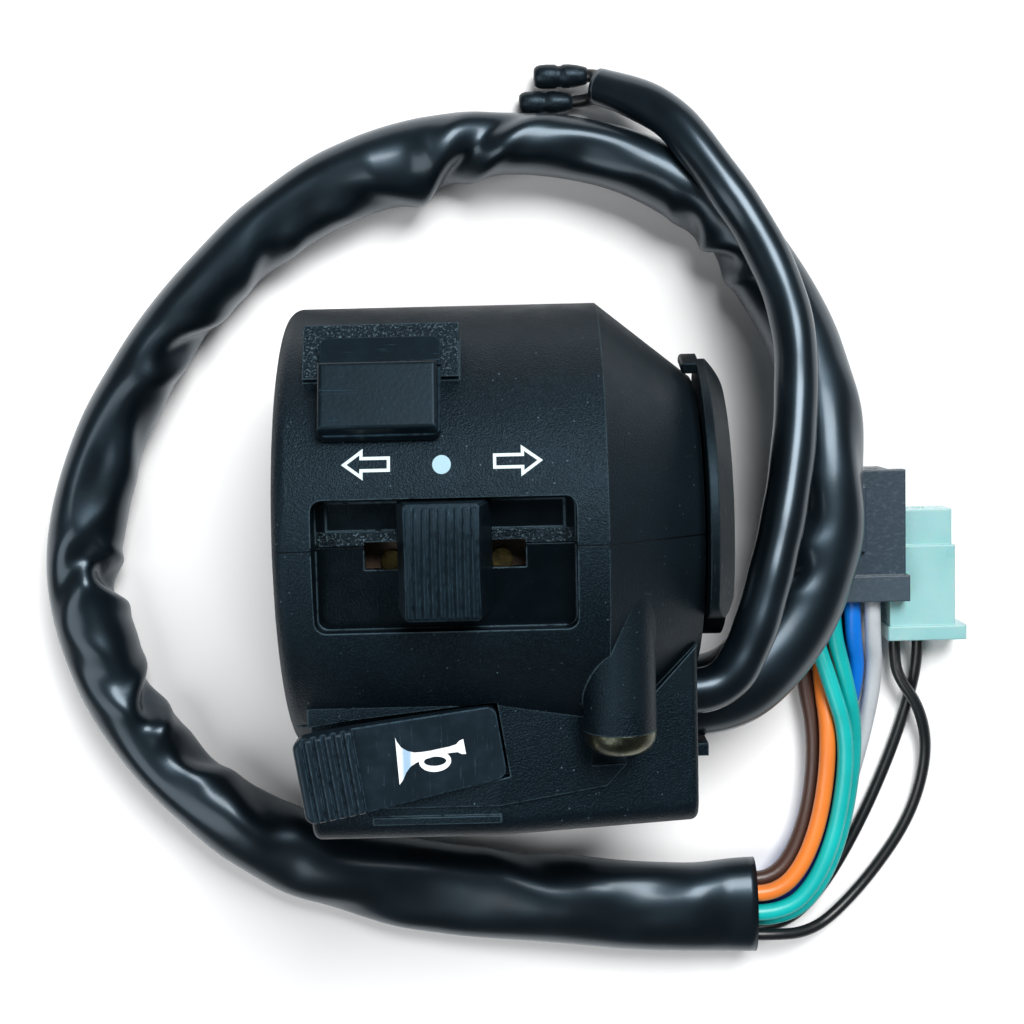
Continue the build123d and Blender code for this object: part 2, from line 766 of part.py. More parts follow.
def dimmer_frame():
    """The dimmer's own frame, on the outer face of its contact base, under the stem at rest."""
    origin = lean_frame(dimmer_level()).from_local_coords(Vector(dimmer_x, dimmer_stem_middle(), 0))
    return Plane(origin=origin, x_dir=(1, 0, 0), z_dir=lean_out())


def dimmer_screws():
    """Screw places on the dimmer's frame."""
    return [(x, dimmer_travel / 2) for x in about(0, dimmer_screw_pitch)]


def dimmer_rivets():
    """Fixed contacts of the dimmer: low beam and high beam."""
    return [(ball_offset / 2, step * dimmer_travel) for step in (0, 1)]


def dimmer_screw_places():
    """The same screws in the housing's frame."""
    places = []
    for x, y in dimmer_screws():
        point = dimmer_frame().from_local_coords(Vector(x, y, 0))
        places.append((point.X, point.Y, point.Z))
    return places


def screw_holes(places, along):
    """Pilot holes for a contact base's screws."""
    return joined([rod(place, along, base_screw_radius, base_screw_grip + snug) for place in places])


def dimmer_pad():
    """The raised pad."""
    return leaning(about(dimmer_x, pad_width), (pad_foot, pad_head), (-dimmer_pocket - 2 * wall, 0))


def dimmer_slot_cut():
    """The slot for the dimmer's stem, with the flat that its carrier slides under."""
    head = dimmer_stem_foot + dimmer_stem_length + dimmer_travel + gap
    slot = leaning(about(dimmer_x, dimmer_stem_width + 2 * gap), (dimmer_stem_foot - gap, head),
                   (-dimmer_pocket - wall, gap))
    flat = leaning(about(dimmer_x, dimmer_carrier_width + 2 * gap),
                   about(dimmer_stem_middle() + dimmer_travel / 2,
                         dimmer_carrier_length + dimmer_travel + 2 * gap),
                   (dimmer_level(), -dimmer_pocket))
    return slot + flat


def dimmer_bosses():
    """The two bosses that the dimmer's contact base is screwed to."""
    bosses = joined([rod(place, lean_out(), base_boss_radius, -dimmer_level() - wall / 2)
                     for place in dimmer_screw_places()])
    return bosses & (body_outside() + dimmer_pad())


def dimmer_contact_base():
    middle = Plane(origin=dimmer_frame().from_local_coords(Vector(0, dimmer_travel / 2, 0)),
                   x_dir=(1, 0, 0), z_dir=lean_out())
    shift = dimmer_travel / 2
    screws = [(x, y - shift) for x, y in dimmer_screws()]
    rivets = [(x, y - shift) for x, y in dimmer_rivets()]
    dimples = [(-ball_offset, step * dimmer_travel - shift) for step in (0, 1)]
    return base_plate(middle, (dimmer_base_length, dimmer_base_width), screws, rivets, dimples)


def dimmer_carrier():
    """The slide behind the pad, with its stem."""
    level = contact_drop + contact_thickness
    plate = block(about(0, dimmer_carrier_width), about(0, dimmer_carrier_length),
                  (level, level + dimmer_carrier_thickness))
    stem = block(about(0, dimmer_stem_width), about(0, dimmer_stem_length),
                 (level, dimmer_block_low - wall - dimmer_level() + thin_floor))
    pocket = detent_pocket(-ball_offset, 0, dimmer_carrier_thickness - thin_floor)
    return dimmer_frame().location * (plate + stem - pocket)


def dimmer_moving_contact():
    return dimmer_frame().location * block(
        about(ball_offset / 2, bridge_height), about(0, bridge_height),
        (contact_drop, contact_drop + contact_thickness))


def dimmer_knob():
    """The dimmer's knob: a thin plate on the pad, with a wedge-shaped block on it."""
    plate = block((dimmer_plate_left, dimmer_plate_right), (dimmer_plate_foot, dimmer_plate_head),
                  (gap, gap + dimmer_plate_thickness))
    plate = fillet(plate.edges().filter_by(Axis.Z), 2 * dimmer_edge)
    low = gap + dimmer_plate_thickness / 2
    outline = [(dimmer_block_left, dimmer_block_foot, low), (dimmer_block_left, dimmer_block_head, low),
               (dimmer_block_left, dimmer_block_head - dimmer_groove, dimmer_block_high),
               (dimmer_block_left, dimmer_block_foot, dimmer_block_low)]
    wedge = extrude(Face(Wire.make_polygon(outline, close=True)), dimmer_block_right - dimmer_block_left,
                    dir=(1, 0, 0))
    front = wedge.edges().filter_by(lambda edge: edge.center().Z > dimmer_block_low - snug)
    wedge = fillet(front, dimmer_edge)
    groove = block((dimmer_plate_left, dimmer_plate_right),
                   (dimmer_block_head, dimmer_block_head + dimmer_groove),
                   (gap + dimmer_plate_thickness - dimmer_groove, gap + dimmer_plate_thickness + overrun))
    pocket = block(about(dimmer_x, dimmer_stem_width + 2 * slip),
                   about(dimmer_stem_middle(), dimmer_stem_length + 2 * slip),
                   (0, dimmer_block_low - wall + thin_floor + slip))
    return lean_frame().location * (plate + wedge - groove - pocket)


# Horn

def horn_frame():
    """The horn paddle's own frame: along the paddle, across it, and out of the front."""
    turn = radians(horn_turn)
    return Plane(origin=(horn_x, horn_y, 0), x_dir=(-cos(turn), -sin(turn), 0), z_dir=(0, 0, 1))


def horn_block(x, y, z):
    """A box on the horn paddle's frame."""
    return horn_frame().location * block(x, y, z)


def horn_place(x, y, z):
    """A place on the horn paddle's frame, in the housing's frame."""
    point = horn_frame().from_local_coords(Vector(x, y, z))
    return (point.X, point.Y, point.Z)


def horn_outline(grow=0.0):
    """The paddle seen from the front: narrow at its nose, square at its ribbed tip."""
    nose = horn_nose_width / 2 + grow
    tip = horn_tip_width / 2 + grow
    return [(-horn_nose - grow, -nose), (horn_rib_start, -tip), (horn_length + grow, -tip),
            (horn_length + grow, tip), (horn_rib_start, tip), (-horn_nose - grow, nose)]


def horn_drawn(grow, low, high):
    """The paddle's outline drawn out between two heights."""
    face = Face(Wire.make_polygon([(x, y, low) for x, y in horn_outline(grow)], close=True))
    return extrude(face, high - low, dir=(0, 0, 1))


def horn_rise():
    """How much the paddle's top climbs for each unit towards its tip."""
    return (horn_rib_top - horn_nose_top) / (horn_rib_start + horn_nose)


def horn_top(x):
    """Height of the paddle's flat top at a place along it."""
    return horn_nose_top + horn_rise() * (x + horn_nose)


def horn_pocket():
    """The pocket that the paddle sinks into, and the hatch for its lug and plunger."""
    hatch = horn_block((-horn_lug_radius - 2 * gap, horn_hatch_length), about(0, horn_hatch_width),
                       (horn_pocket_floor - horn_pocket_wall - overrun, horn_pocket_floor + overrun))
    return horn_frame().location * horn_drawn(gap, horn_pocket_floor, body_radius) + hatch


def horn_seat():
    """The material round the pocket and under its floor."""
    low = horn_pocket_floor - horn_pocket_wall
    return horn_frame().location * horn_drawn(gap + wall, low, body_radius)


def horn_pin_cylinder(grow=0.0):
    """The paddle's pin, or its hole."""
    turn = radians(horn_turn)
    start = horn_place(0, -horn_pin_length / 2, horn_pivot_z)
    return rod(start, (sin(turn), -cos(turn), 0), horn_pin_radius + grow, horn_pin_length)


def horn_pin_posts():
    """The two posts beside the hatch that hold the paddle's pin."""
    inner = horn_lug_width / 2 + gap
    return joined([horn_block(about(0, horn_block_length), ends, (horn_block_foot, horn_block_top))
                   for ends in ((-inner - horn_block_width, -inner), (inner, inner + horn_block_width))])


def horn_base_level():
    """Outer face of the horn's contact base."""
    return horn_plunger_foot - contact_thickness - horn_contact_gap - contact_drop + slip


def horn_base_frame():
    """The frame of the horn's contact base, at its middle."""
    middle = horn_base_start + horn_base_length / 2
    turn = radians(horn_turn)
    return Plane(origin=horn_place(middle, 0, horn_base_level()), x_dir=(-cos(turn), -sin(turn), 0),
                 z_dir=(0, 0, 1))


def horn_base_screws():
    """Screw places on the contact base's frame."""
    return [(0, y) for y in about(0, horn_post_spread)]


def horn_rivets():
    """Fixed contacts under the plunger."""
    x = horn_plunger_place - horn_base_start - horn_base_length / 2
    return [(x, y) for y in about(0, horn_rivet_spread)]


def horn_post_places():
    """The horn's base screws in the housing's frame."""
    places = []
    for x, y in horn_base_screws():
        point = horn_base_frame().from_local_coords(Vector(x, y, 0))
        places.append((point.X, point.Y, point.Z))
    return places


def horn_posts():
    """Posts from the pocket's floor down to the horn's contact base."""
    length = horn_pocket_floor - horn_pocket_wall / 2 - horn_base_level()
    return joined([rod(place, (0, 0, 1), horn_post_radius, length) for place in horn_post_places()])


def horn_contact_base():
    return base_plate(horn_base_frame(), (horn_base_length, horn_base_width), horn_base_screws(),
                      horn_rivets(), [])


def horn_moving_contact():
    width = horn_rivet_spread + 2 * rivet_radius
    return horn_block(about(horn_plunger_place, bridge_height), about(0, width),
                      (horn_plunger_foot - contact_thickness, horn_plunger_foot))


def horn_paddle():
    """The glossy paddle: a rising plate with a ribbed tip, a lug and a plunger."""
    rise = horn_rise() * (horn_length + overrun - horn_rib_start)
    start = -horn_nose - overrun
    end = horn_length + overrun
    low_start = horn_top(start) - horn_thickness
    side = [(start, low_start), (start, horn_top(start)), (horn_rib_start, horn_rib_top),
            (horn_rib_start, horn_rib_top + horn_rib_rise), (end, horn_rib_top + horn_rib_rise + rise),
            (end, horn_top(end) - horn_thickness)]
    half = horn_tip_width
    face = Face(Wire.make_polygon([(x, -half, z) for x, z in side], close=True))
    plan = horn_drawn(0, 0, 2 * body_radius)
    corners = plan.edges().filter_by(Axis.Z)
    plan = fillet(corners.group_by(Axis.X)[0] + corners.group_by(Axis.X)[-1], horn_corner)
    plate = extrude(face, 2 * half, dir=(0, 1, 0)) & plan
    tip_edges = [edge for edge in plate.edges() if edge.center().X > horn_length - slip
                 and edge.center().Z > horn_rib_top]
    plate = fillet(tip_edges, horn_tip_corner)
    for step in range(horn_groove_count):
        x = horn_rib_start + horn_groove_pitch * (step + 1) - horn_groove_width
        level = horn_rib_top + horn_rib_rise + horn_rise() * (x - horn_rib_start)
        plate = plate - block((x, x + horn_groove_width), about(0, 2 * half),
                              (level - horn_groove_depth, level + overrun))
    lug = rod((0, -horn_lug_width / 2, horn_pivot_z), (0, 1, 0), horn_lug_radius, horn_lug_width)
    web = block(about(0, 2 * horn_nose - gap), about(0, horn_lug_width),
                (horn_pivot_z, horn_top(0) - horn_thickness / 2))
    plunger = block(about(horn_plunger_place, horn_plunger_length), about(0, horn_plunger_length),
                    (horn_plunger_foot, horn_top(horn_plunger_place) - horn_thickness / 2))
    return horn_frame().location * (plate + lug + web + plunger) - horn_pin_cylinder(slip)


def horn_spring():
    """The spring under the paddle, between the pocket's floor and the plate."""
    reach = horn_spring_place - horn_spring_radius
    height = horn_top(reach) - horn_thickness - snug - horn_pocket_floor
    start = horn_place(horn_spring_place, 0, horn_pocket_floor)
    tube = rod(start, (0, 0, 1), horn_spring_radius, height)
    return tube - rod(start, (0, 0, 1), horn_spring_radius - horn_spring_gauge, height)


# Choke lever

def lever_axis():
    """The lever turns so that its front goes up."""
    return Axis((0, 0, 0), (-1, 0, 0))


def lever_wedge(low, high, start, length):
    """A wedge about the bar between two angles above the parting plane."""
    reach = 2 * body_radius
    angles = [radians(low), radians((low + high) / 2), radians(high)]
    points = [(start, 0, 0)] + [(start, reach * sin(angle), reach * cos(angle)) for angle in angles]
    return extrude(Face(Wire.make_polygon(points, close=True)), length, dir=(1, 0, 0))


def choke_lever():
    """A ring round the bar with a broad thumb flange, held by its inner flange."""
    start = cone_end + lever_gap
    end = start + lever_thickness
    neck = ring(lever_flange_start, end - lever_flange_start, lever_bore_radius, lever_neck_radius)
    flange = ring(lever_flange_start, lever_flange_thickness, lever_bore_radius, lever_flange_radius)
    hub = ring(start, lever_thickness, lever_bore_radius, lever_hub_radius)
    thumb = lever_wedge(lever_low_angle, lever_high_angle, start, lever_thickness)
    thumb = thumb & rod((start, 0, 0), (1, 0, 0), lever_rim_radius, lever_thickness)
    corners = [edge for edge in thumb.edges().filter_by(Axis.X)
               if hypot(edge.center().Y, edge.center().Z) > lever_hub_radius]
    thumb = fillet(corners, lever_round)
    edge_start = end - lever_thickness * 2 / 3
    cone = turned([(start, 0), (start, lever_rim_radius), (edge_start, lever_rim_radius),
                   (end, lever_rim_end_radius), (end, 0)])
    crown = block((start - lever_crown, end), (lever_crown_low, lever_crown_high), (0, lever_rim_radius))
    crown = fillet(crown.edges().filter_by(Axis.Z).group_by(Axis.X)[-1], lever_crown)
    thumb = (thumb & cone & crown) - rod((start - overrun, 0, 0), (1, 0, 0), lever_bore_radius,
                                 lever_thickness + 2 * overrun)
    tab = ring(start - lever_tab_reach, lever_tab_reach + lever_gap,
               lever_rim_radius - lever_tab_thickness, lever_rim_radius)
    tab = tab & lever_wedge(lever_high_angle - lever_tab_angle - lever_round, lever_high_angle - lever_round,
                            start - lever_tab_reach, lever_tab_reach + lever_gap)
    tab = fillet(tab.edges().group_by(Axis.X)[0], lever_tab_thickness * 0.4)
    return neck + flange + hub + thumb + tab


def lever_washer():
    """The friction washer between the lever's flange and the housing's end wall."""
    room = cone_end - wall - lever_flange_start - lever_flange_thickness
    start = lever_flange_start + lever_flange_thickness + (room - washer_thickness) / 2
    return ring(start, washer_thickness, lever_neck_radius + gap, lever_flange_radius)


# Harness

def grommet_lobes(grow, start, length):
    """The grommet's outline about both cords, drawn along the bar."""
    main = sleeve_diameter / 2 + grow
    small = clutch_sleeve_diameter / 2 + grow
    lobes = rod((start, harness_y, harness_z), (1, 0, 0), main, length)
    lobes = lobes + rod((start, clutch_exit_y, clutch_exit_z), (1, 0, 0), small, length)
    bridge = block((start, start + length), about(clutch_exit_y, 2 * small - gap),
                   (harness_z, clutch_exit_z))
    return lobes + bridge


def harness_grommet():
    """The rubber bush in the box's end wall."""
    bush = grommet_lobes(grommet_wall - slip, grommet_inside, box_right - grommet_inside)
    return bush + grommet_lobes(grommet_wall + grommet_flange, grommet_inside, grommet_flange_thickness - slip)


def cord(name, points, diameter):
    """A round cord along straight runs joined by arcs, with its facts printed."""
    corners = [Vector(*point) for point in points]
    runs = [(after - before).length for before, after in zip(corners, corners[1:])]
    radii = []
    for index in range(1, len(corners) - 1):
        turn = (corners[index] - corners[index - 1]).get_angle(corners[index + 1] - corners[index])
        radii.append(arc_share * min(runs[index - 1], runs[index]) / tan(radians(turn / 2)))
    path = FilletPolyline(*points, radius=radii)
    start = Plane(origin=path @ 0, z_dir=path % 0)
    tube = sweep(start * Circle(diameter / 2), path=path)
    share = tube.volume / (pi * diameter ** 2 / 4 * path.length)
    print(name, "length %.1f" % path.length, "volume share %.4f" % share,
          "radii", " ".join("%.1f" % radius for radius in radii))
    return tube


def boot_group():
    """The two rubber boots on the clutch switch leads."""
    group = []
    for start in boot_starts:
        boot = rod(start, (-1, 0, 0), boot_radius, boot_length)
        boot = fillet(boot.edges().group_by(Axis.X)[0], boot_nose / 2)
        mouth = (start[0] - boot_length, start[1], start[2])
        group.append(boot - rod(mouth, (1, 0, 0), boot_mouth_radius, boot_mouth_depth))
    return group


def boot_terminals():
    """The brass terminals at the bottom of the boots' mouths."""
    return [rod((start[0] - boot_length + terminal_size, start[1], start[2]), (1, 0, 0),
                boot_mouth_radius - slip, boot_mouth_depth - terminal_size) for start in boot_starts]


def clutch_leads():
    """The two short leads from the thin sleeve's cut end to the boots."""
    middle = Vector(*clutch_route[-1])
    along = (middle - Vector(*clutch_route[-2])).normalized()
    across = along.cross(Vector(0, 0, 1)).normalized() * lead_offset
    group = []
    for start, end in zip((middle + across, middle - across), boot_starts):
        run = Vector(*end) - start
        group.append(rod(start, run, boot_wire_radius, run.length))
    return group


def switch_wires(name, place, x, y, route):
    """The wires from the back of a contact base to the grommet."""
    start = [place.from_local_coords(Vector(x, y, -base_thickness - drop)) for drop in (0, wire_drop)]
    return cord(name, start + [Vector(*point) for point in route], inner_wire_diameter)


def wire_entries(routes):
    """Where a group of wires enters its connector, as (along the bar, height)."""
    return [(points[-1][0], points[-1][2]) for points in routes.values()]


def cavities(entries, head, size, depth):
    """The terminal cavities in a connector's face."""
    return joined([block(about(x, size), (head - depth, head + overrun), about(z, size)) for x, z in entries])


def terminals(entries, head):
    """Brass socket terminals, one solid in each cavity."""
    group = []
    for x, z in entries:
        span = (head - cavity_depth, head - terminal_set_back)
        tube = block(about(x, terminal_size), span, about(z, terminal_size))
        group.append(tube - block(about(x, terminal_bore), (span[0] + terminal_bore, span[1] + overrun),
                                  about(z, terminal_bore)))
    return group


def black_connector():
    """The seven-way connector: a plain housing with a lip at its foot and a ledge on one side."""
    length = (black_foot, black_head)
    body = block((black_left, black_right), length, (ground, black_top))
    ledge_low = black_top - black_ledge
    side = block((black_right - overrun, black_ledge_right), length, (ledge_low, black_top))
    lip = (black_foot, black_foot + black_lip_length)
    foot = block((black_left - black_lip_rise, black_right), lip, (ground, black_top + black_lip_rise))
    edge = block((black_right - overrun, black_ledge_right + black_lip_rise), lip,
                 (ledge_low, black_top + black_lip_rise))
    latch_x = (black_left + black_right) / 2
    latch = block(about(latch_x, latch_width), (black_head - latch_length - wall, black_head - wall),
                  (black_top - overrun, black_top + latch_rise))
    latch = latch - block(about(latch_x, latch_width - wall),
                          (black_head - latch_length, black_head - 2 * wall),
                          (black_top + latch_rise / 2, black_top + latch_rise + overrun))
    shape = body + side + foot + edge + latch
    return shape - cavities(wire_entries(wire_routes), black_head, cavity_size, cavity_depth)


def pale_connector():
    """The two-way connector with its broad foot."""
    body = block((pale_left, pale_right), (pale_foot, pale_head - pale_nose), (ground, pale_top))
    nose = block((pale_left + pale_flange_rise, pale_right - pale_flange_rise),
                 (pale_head - pale_nose, pale_head), (ground + pale_flange_rise, pale_top - pale_flange_rise))
    foot = block((pale_flange_left, pale_flange_right), (pale_foot - pale_flange_length, pale_foot),
                 (ground, pale_top + pale_flange_rise))
    foot = fillet(foot.edges().filter_by(Axis.Y), pale_flange_rise)
    return body + nose + foot - cavities(wire_entries(thin_routes), pale_head, cavity_size, cavity_depth)


os.makedirs("parts", exist_ok=True)

export("upper_housing", upper_housing())
export("lower_housing", lower_housing())
export("housing_screws", housing_screws())
export("screw_inserts", screw_inserts())

spring_depth = carrier_thickness - thin_floor
export("turn_knob", turn_knob())
export("turn_carrier", turn_carrier())
export("turn_moving_contact", turn_moving_contact())
export("turn_contact_base", turn_contact_base())
export("turn_fixed_contacts", rivet_group(turn_frame(), turn_rivets()))
export("turn_base_screws", base_screws(turn_frame(), turn_screws()))
export("turn_detent_ball", detent_ball(turn_frame(), 0, ball_offset))
export("turn_detent_spring", detent_spring(turn_frame(), 0, ball_offset, spring_depth))

spring_depth = dimmer_carrier_thickness - thin_floor
export("dimmer_knob", dimmer_knob())
export("dimmer_carrier", dimmer_carrier())
export("dimmer_moving_contact", dimmer_moving_contact())
export("dimmer_contact_base", dimmer_contact_base())
export("dimmer_fixed_contacts", rivet_group(dimmer_frame(), dimmer_rivets()))
export("dimmer_base_screws", base_screws(dimmer_frame(), dimmer_screws()))
export("dimmer_detent_ball", detent_ball(dimmer_frame(), -ball_offset, 0))
export("dimmer_detent_spring", detent_spring(dimmer_frame(), -ball_offset, 0, spring_depth))

export("horn_paddle", horn_paddle())
export("horn_pin", horn_pin_cylinder())
export("horn_spring", horn_spring())
export("horn_moving_contact", horn_moving_contact())
export("horn_contact_base", horn_contact_base())
export("horn_fixed_contacts", rivet_group(horn_base_frame(), horn_rivets()))
export("horn_base_screws", base_screws(horn_base_frame(), horn_base_screws()))

export("choke_lever", choke_lever())
export("choke_friction_washer", lever_washer())

export("harness_grommet", harness_grommet())
export("main_sleeve", cord("main_sleeve", main_route, sleeve_diameter))
export("clutch_sleeve", cord("clutch_sleeve", clutch_route, clutch_sleeve_diameter))
export("clutch_leads", clutch_leads())
export("clutch_boots", boot_group())
export("clutch_terminals", boot_terminals())
for name, points in wire_routes.items():
    export(name, cord(name, points, wire_diameter))
for name, points in thin_routes.items():
    export(name, cord(name, points, thin_wire_diameter))
export("turn_switch_wires", switch_wires("turn_switch_wires", turn_frame(), turn_wires_x, turn_wires_y,
                                        turn_wires_route))
export("dimmer_switch_wires", switch_wires("dimmer_switch_wires", dimmer_frame(), dimmer_wires_x,
                                          dimmer_wires_y, dimmer_wires_route))
export("horn_switch_wires", switch_wires("horn_switch_wires", horn_base_frame(), horn_wires_x, 0,
                                        horn_wires_route))
export("black_connector", black_connector())
export("black_terminals", terminals(wire_entries(wire_routes), black_head))
export("pale_connector", pale_connector())
export("pale_terminals", terminals(wire_entries(thin_routes), pale_head))
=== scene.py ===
# %% [markdown]
# A handlebar switch cluster, dressed in Blender around its CAD frame. The frame brings every hard
# piece in metres: X runs along the handlebar, Y up the front of the housing, and Z out of the
# controls, so the part lies on its flat back and the camera looks down on it.

import math

import bmesh
import bpy
from mathutils import Matrix, Vector


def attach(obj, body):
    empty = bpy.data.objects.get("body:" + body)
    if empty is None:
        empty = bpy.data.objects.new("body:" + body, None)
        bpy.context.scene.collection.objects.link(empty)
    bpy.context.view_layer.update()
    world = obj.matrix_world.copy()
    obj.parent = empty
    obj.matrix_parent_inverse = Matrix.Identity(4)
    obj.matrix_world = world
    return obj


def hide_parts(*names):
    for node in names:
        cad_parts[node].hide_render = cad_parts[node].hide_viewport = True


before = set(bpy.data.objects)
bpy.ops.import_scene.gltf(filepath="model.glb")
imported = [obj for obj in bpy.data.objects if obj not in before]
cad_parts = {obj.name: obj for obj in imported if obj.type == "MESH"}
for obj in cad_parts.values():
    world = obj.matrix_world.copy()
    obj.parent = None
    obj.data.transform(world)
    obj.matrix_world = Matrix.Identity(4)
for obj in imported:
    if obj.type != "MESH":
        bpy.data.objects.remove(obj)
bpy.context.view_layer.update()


def mm(*numbers):
    """Millimetres as a point in metres."""
    return Vector(number * 0.001 for number in numbers)


# %% [markdown]
# The camera comes first, because everything else is judged through it. The photograph was taken
# from about 24 cm above the table with a short telephoto lens, tipped five degrees towards the
# top of the picture. A camera in Blender looks along its own -Z, so its rotation is built from
# three small turns. The bench matches a sensor of 36 mm, on which the lens is 59.8 mm long.

# %% Camera
def turn(degrees, axis):
    return Matrix.Rotation(math.radians(degrees), 3, axis)


camera = bpy.data.objects.new("photo_camera", bpy.data.cameras.new("photo_camera"))
camera.data.sensor_fit = "HORIZONTAL"
camera.data.sensor_width = 36.0
camera.data.lens = 1700 / 1024 * 36.0
camera.data.clip_start = 0.01
camera.data.clip_end = 10.0
tilt = (turn(1.334, "Z") @ turn(-0.119, "Y") @ turn(4.999, "X")).transposed()
camera.matrix_world = Matrix.Translation(mm(2.7, 20.59, 217.61)) @ tilt.to_4x4()
bpy.context.scene.collection.objects.link(camera)
bpy.context.scene.camera = camera
print("camera at", [round(c, 4) for c in camera.location])

# %% [markdown]
# Every cord follows a NURBS line through the same route points as the CAD tubes. The order of a
# spline and its end points are set after the points are added, because a new spline starts with
# too few points to hold them. A round wire is that line with a bevel; its radius sits on the
# points, where Blender also looks for it when it works out how large the wire is. The two
# sleeves are made as meshes, because soft vinyl tube isn't round: it flattens, buckles and has a
# cut end.

# %% Cord lines
wire_radius = 0.00115
thin_wire_radius = 0.0008
lead_radius = 0.0009
table_height = -0.024
main_route = [
    (24.3, -23.5, -3.0), (29.3, -23.5, -3.0), (35.2, -19.2, -4.2), (40.6, -12.2, -6.0),
    (43.6, -2.4, -7.1), (44.2, 9.0, -8.6), (42.9, 21.0, -14.0), (38.2, 33.0, -18.6), (28.7, 43.6, -18.75),
    (14.5, 49.8, -18.7), (-3.0, 50.6, -18.75), (-20.4, 46.4, -18.7), (-36.0, 36.4, -18.75),
    (-48.6, 21.6, -18.7), (-56.4, 5.2, -18.75), (-58.8, -9.0, -18.7), (-54.2, -24.4, -18.75),
    (-43.6, -38.4, -18.7), (-28.0, -49.0, -18.75), (-9.6, -54.0, -18.7), (7.0, -55.4, -18.75),
    (22.0, -57.3, -18.75), (35.5, -57.3, -18.75)]
clutch_route = [
    (24.3, -21.0, 6.5), (28.4, -21.0, 6.5), (32.2, -14.8, 5.6), (34.9, -6.4, 4.2), (37.4, 2.8, 2.0),
    (39.2, 13.8, -1.2), (39.8, 25.4, -5.6), (36.0, 36.4, -9.0), (29.2, 46.8, -11.0),
    (23.2, 55.2, -14.8), (15.4, 58.2, -20.2)]
wire_routes = {
    "wire_brown": [(35.5, -53.3, -18.75), (37.7, -53.3, -18.75), (41.0, -50.2, -19.4),
                   (43.8, -43.0, -20.4), (44.7, -33.0, -20.8), (43.0, -24.4, -21.6),
                   (43.3, -17.6, -21.8), (43.3, -13.4, -21.8)],
    "wire_orange": [(35.5, -54.6, -16.4), (38.4, -54.6, -16.4), (42.2, -50.8, -16.9),
                    (45.0, -43.4, -17.7), (46.2, -33.0, -18.2), (45.3, -24.4, -20.6),
                    (46.0, -17.6, -21.8), (46.0, -13.4, -21.8)],
    "wire_teal_upper": [(35.5, -57.4, -16.4), (39.7, -57.4, -16.4), (44.2, -53.0, -16.9),
                        (47.4, -44.6, -17.5), (48.7, -33.0, -17.4), (46.0, -24.4, -17.2),
                        (43.9, -17.6, -18.2), (43.9, -13.4, -18.2)],
    "wire_navy": [(35.5, -56.1, -18.75), (39.0, -56.1, -18.75), (43.0, -52.4, -19.3),
                  (46.2, -44.4, -20.2), (47.3, -33.0, -20.6), (47.9, -24.4, -21.6),
                  (48.7, -17.6, -21.8), (48.7, -13.4, -21.8)],
    "wire_teal_lower": [(35.5, -58.9, -18.75), (40.4, -58.9, -18.75), (45.0, -54.6, -19.3),
                        (48.6, -46.0, -20.1), (50.3, -33.0, -20.0), (48.5, -24.4, -18.7),
                        (46.7, -17.6, -18.2), (46.7, -13.4, -18.2)],
    "wire_blue": [(35.5, -54.6, -21.1), (38.4, -54.6, -21.1), (42.2, -50.8, -21.8),
                  (45.6, -43.4, -22.8), (48.8, -33.0, -22.85), (50.9, -24.4, -21.6),
                  (49.5, -17.6, -18.2), (49.5, -13.4, -18.2)],
    "wire_white": [(35.5, -57.4, -21.1), (39.9, -57.4, -21.1), (44.4, -53.2, -21.9),
                   (48.6, -44.6, -22.8), (52.0, -33.0, -22.8), (53.4, -24.4, -21.8),
                   (52.3, -17.6, -18.2), (52.3, -13.4, -18.2)]}
thin_routes = {
    "wire_black_inner": [(35.5, -60.7, -19.9), (39.4, -60.7, -19.9), (45.2, -56.6, -22.2),
                         (50.6, -48.2, -23.15), (55.2, -38.0, -23.0), (58.4, -28.8, -23.1),
                         (59.4, -22.6, -21.6), (59.4, -19.3, -21.6)],
    "wire_black_outer": [(35.5, -61.0, -17.6), (38.0, -61.1, -17.6), (42.6, -61.4, -19.2),
                         (46.8, -59.9, -21.2), (53.2, -53.9, -23.0), (58.8, -45.6, -23.1),
                         (61.0, -36.6, -22.4), (59.6, -29.6, -20.7), (56.4, -25.0, -20.7),
                         (56.0, -22.0, -21.2), (56.0, -19.3, -21.2)]}


def lay(curve, route, radius):
    """One open NURBS spline along a route, added to a curve, with its radius on the points."""
    spline = curve.splines.new("NURBS")
    spline.points.add(len(route) - 1)
    for point, place in zip(spline.points, route):
        point.co = (*mm(*place), 1.0)
        point.radius = radius
    spline.order_u = 3
    spline.use_endpoint_u = True


def cord_line(name, route, radius=0.0):
    """A cord's centreline, with a round bevel if it has a radius."""
    curve = bpy.data.curves.new(name, "CURVE")
    curve.dimensions = "3D"
    curve.resolution_u = 24
    lay(curve, route, radius)
    curve.bevel_depth = 1.0 if radius else 0.0
    curve.bevel_resolution = 6
    curve.use_fill_caps = radius > 0
    cord = bpy.data.objects.new(name, curve)
    bpy.context.scene.collection.objects.link(cord)
    return cord


def length_of(points):
    return sum((after - before).length for before, after in zip(points, points[1:]))


def line_points(name, route):
    """The points of a cord's line, read from its spline."""
    cord = cord_line(name + "_line", route)
    bpy.context.view_layer.update()
    mesh = bpy.data.meshes.new_from_object(cord)
    points = [vertex.co.copy() for vertex in mesh.vertices]
    bpy.data.meshes.remove(mesh)
    bpy.data.objects.remove(cord)
    return points


wires = {}
for name, route in {**wire_routes, **thin_routes}.items():
    radius = wire_radius if name in wire_routes else thin_wire_radius
    wires[name] = cord_line(name + "_insulation", route, radius)
    length = length_of(line_points(name, route))
    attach(wires[name], "housing")
    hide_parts(name)
    mm(*route[0])
    2 * radius
    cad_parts["black_connector" if name in wire_routes else "pale_connector"]
    print(name, "%.1f mm" % (length * 1000))

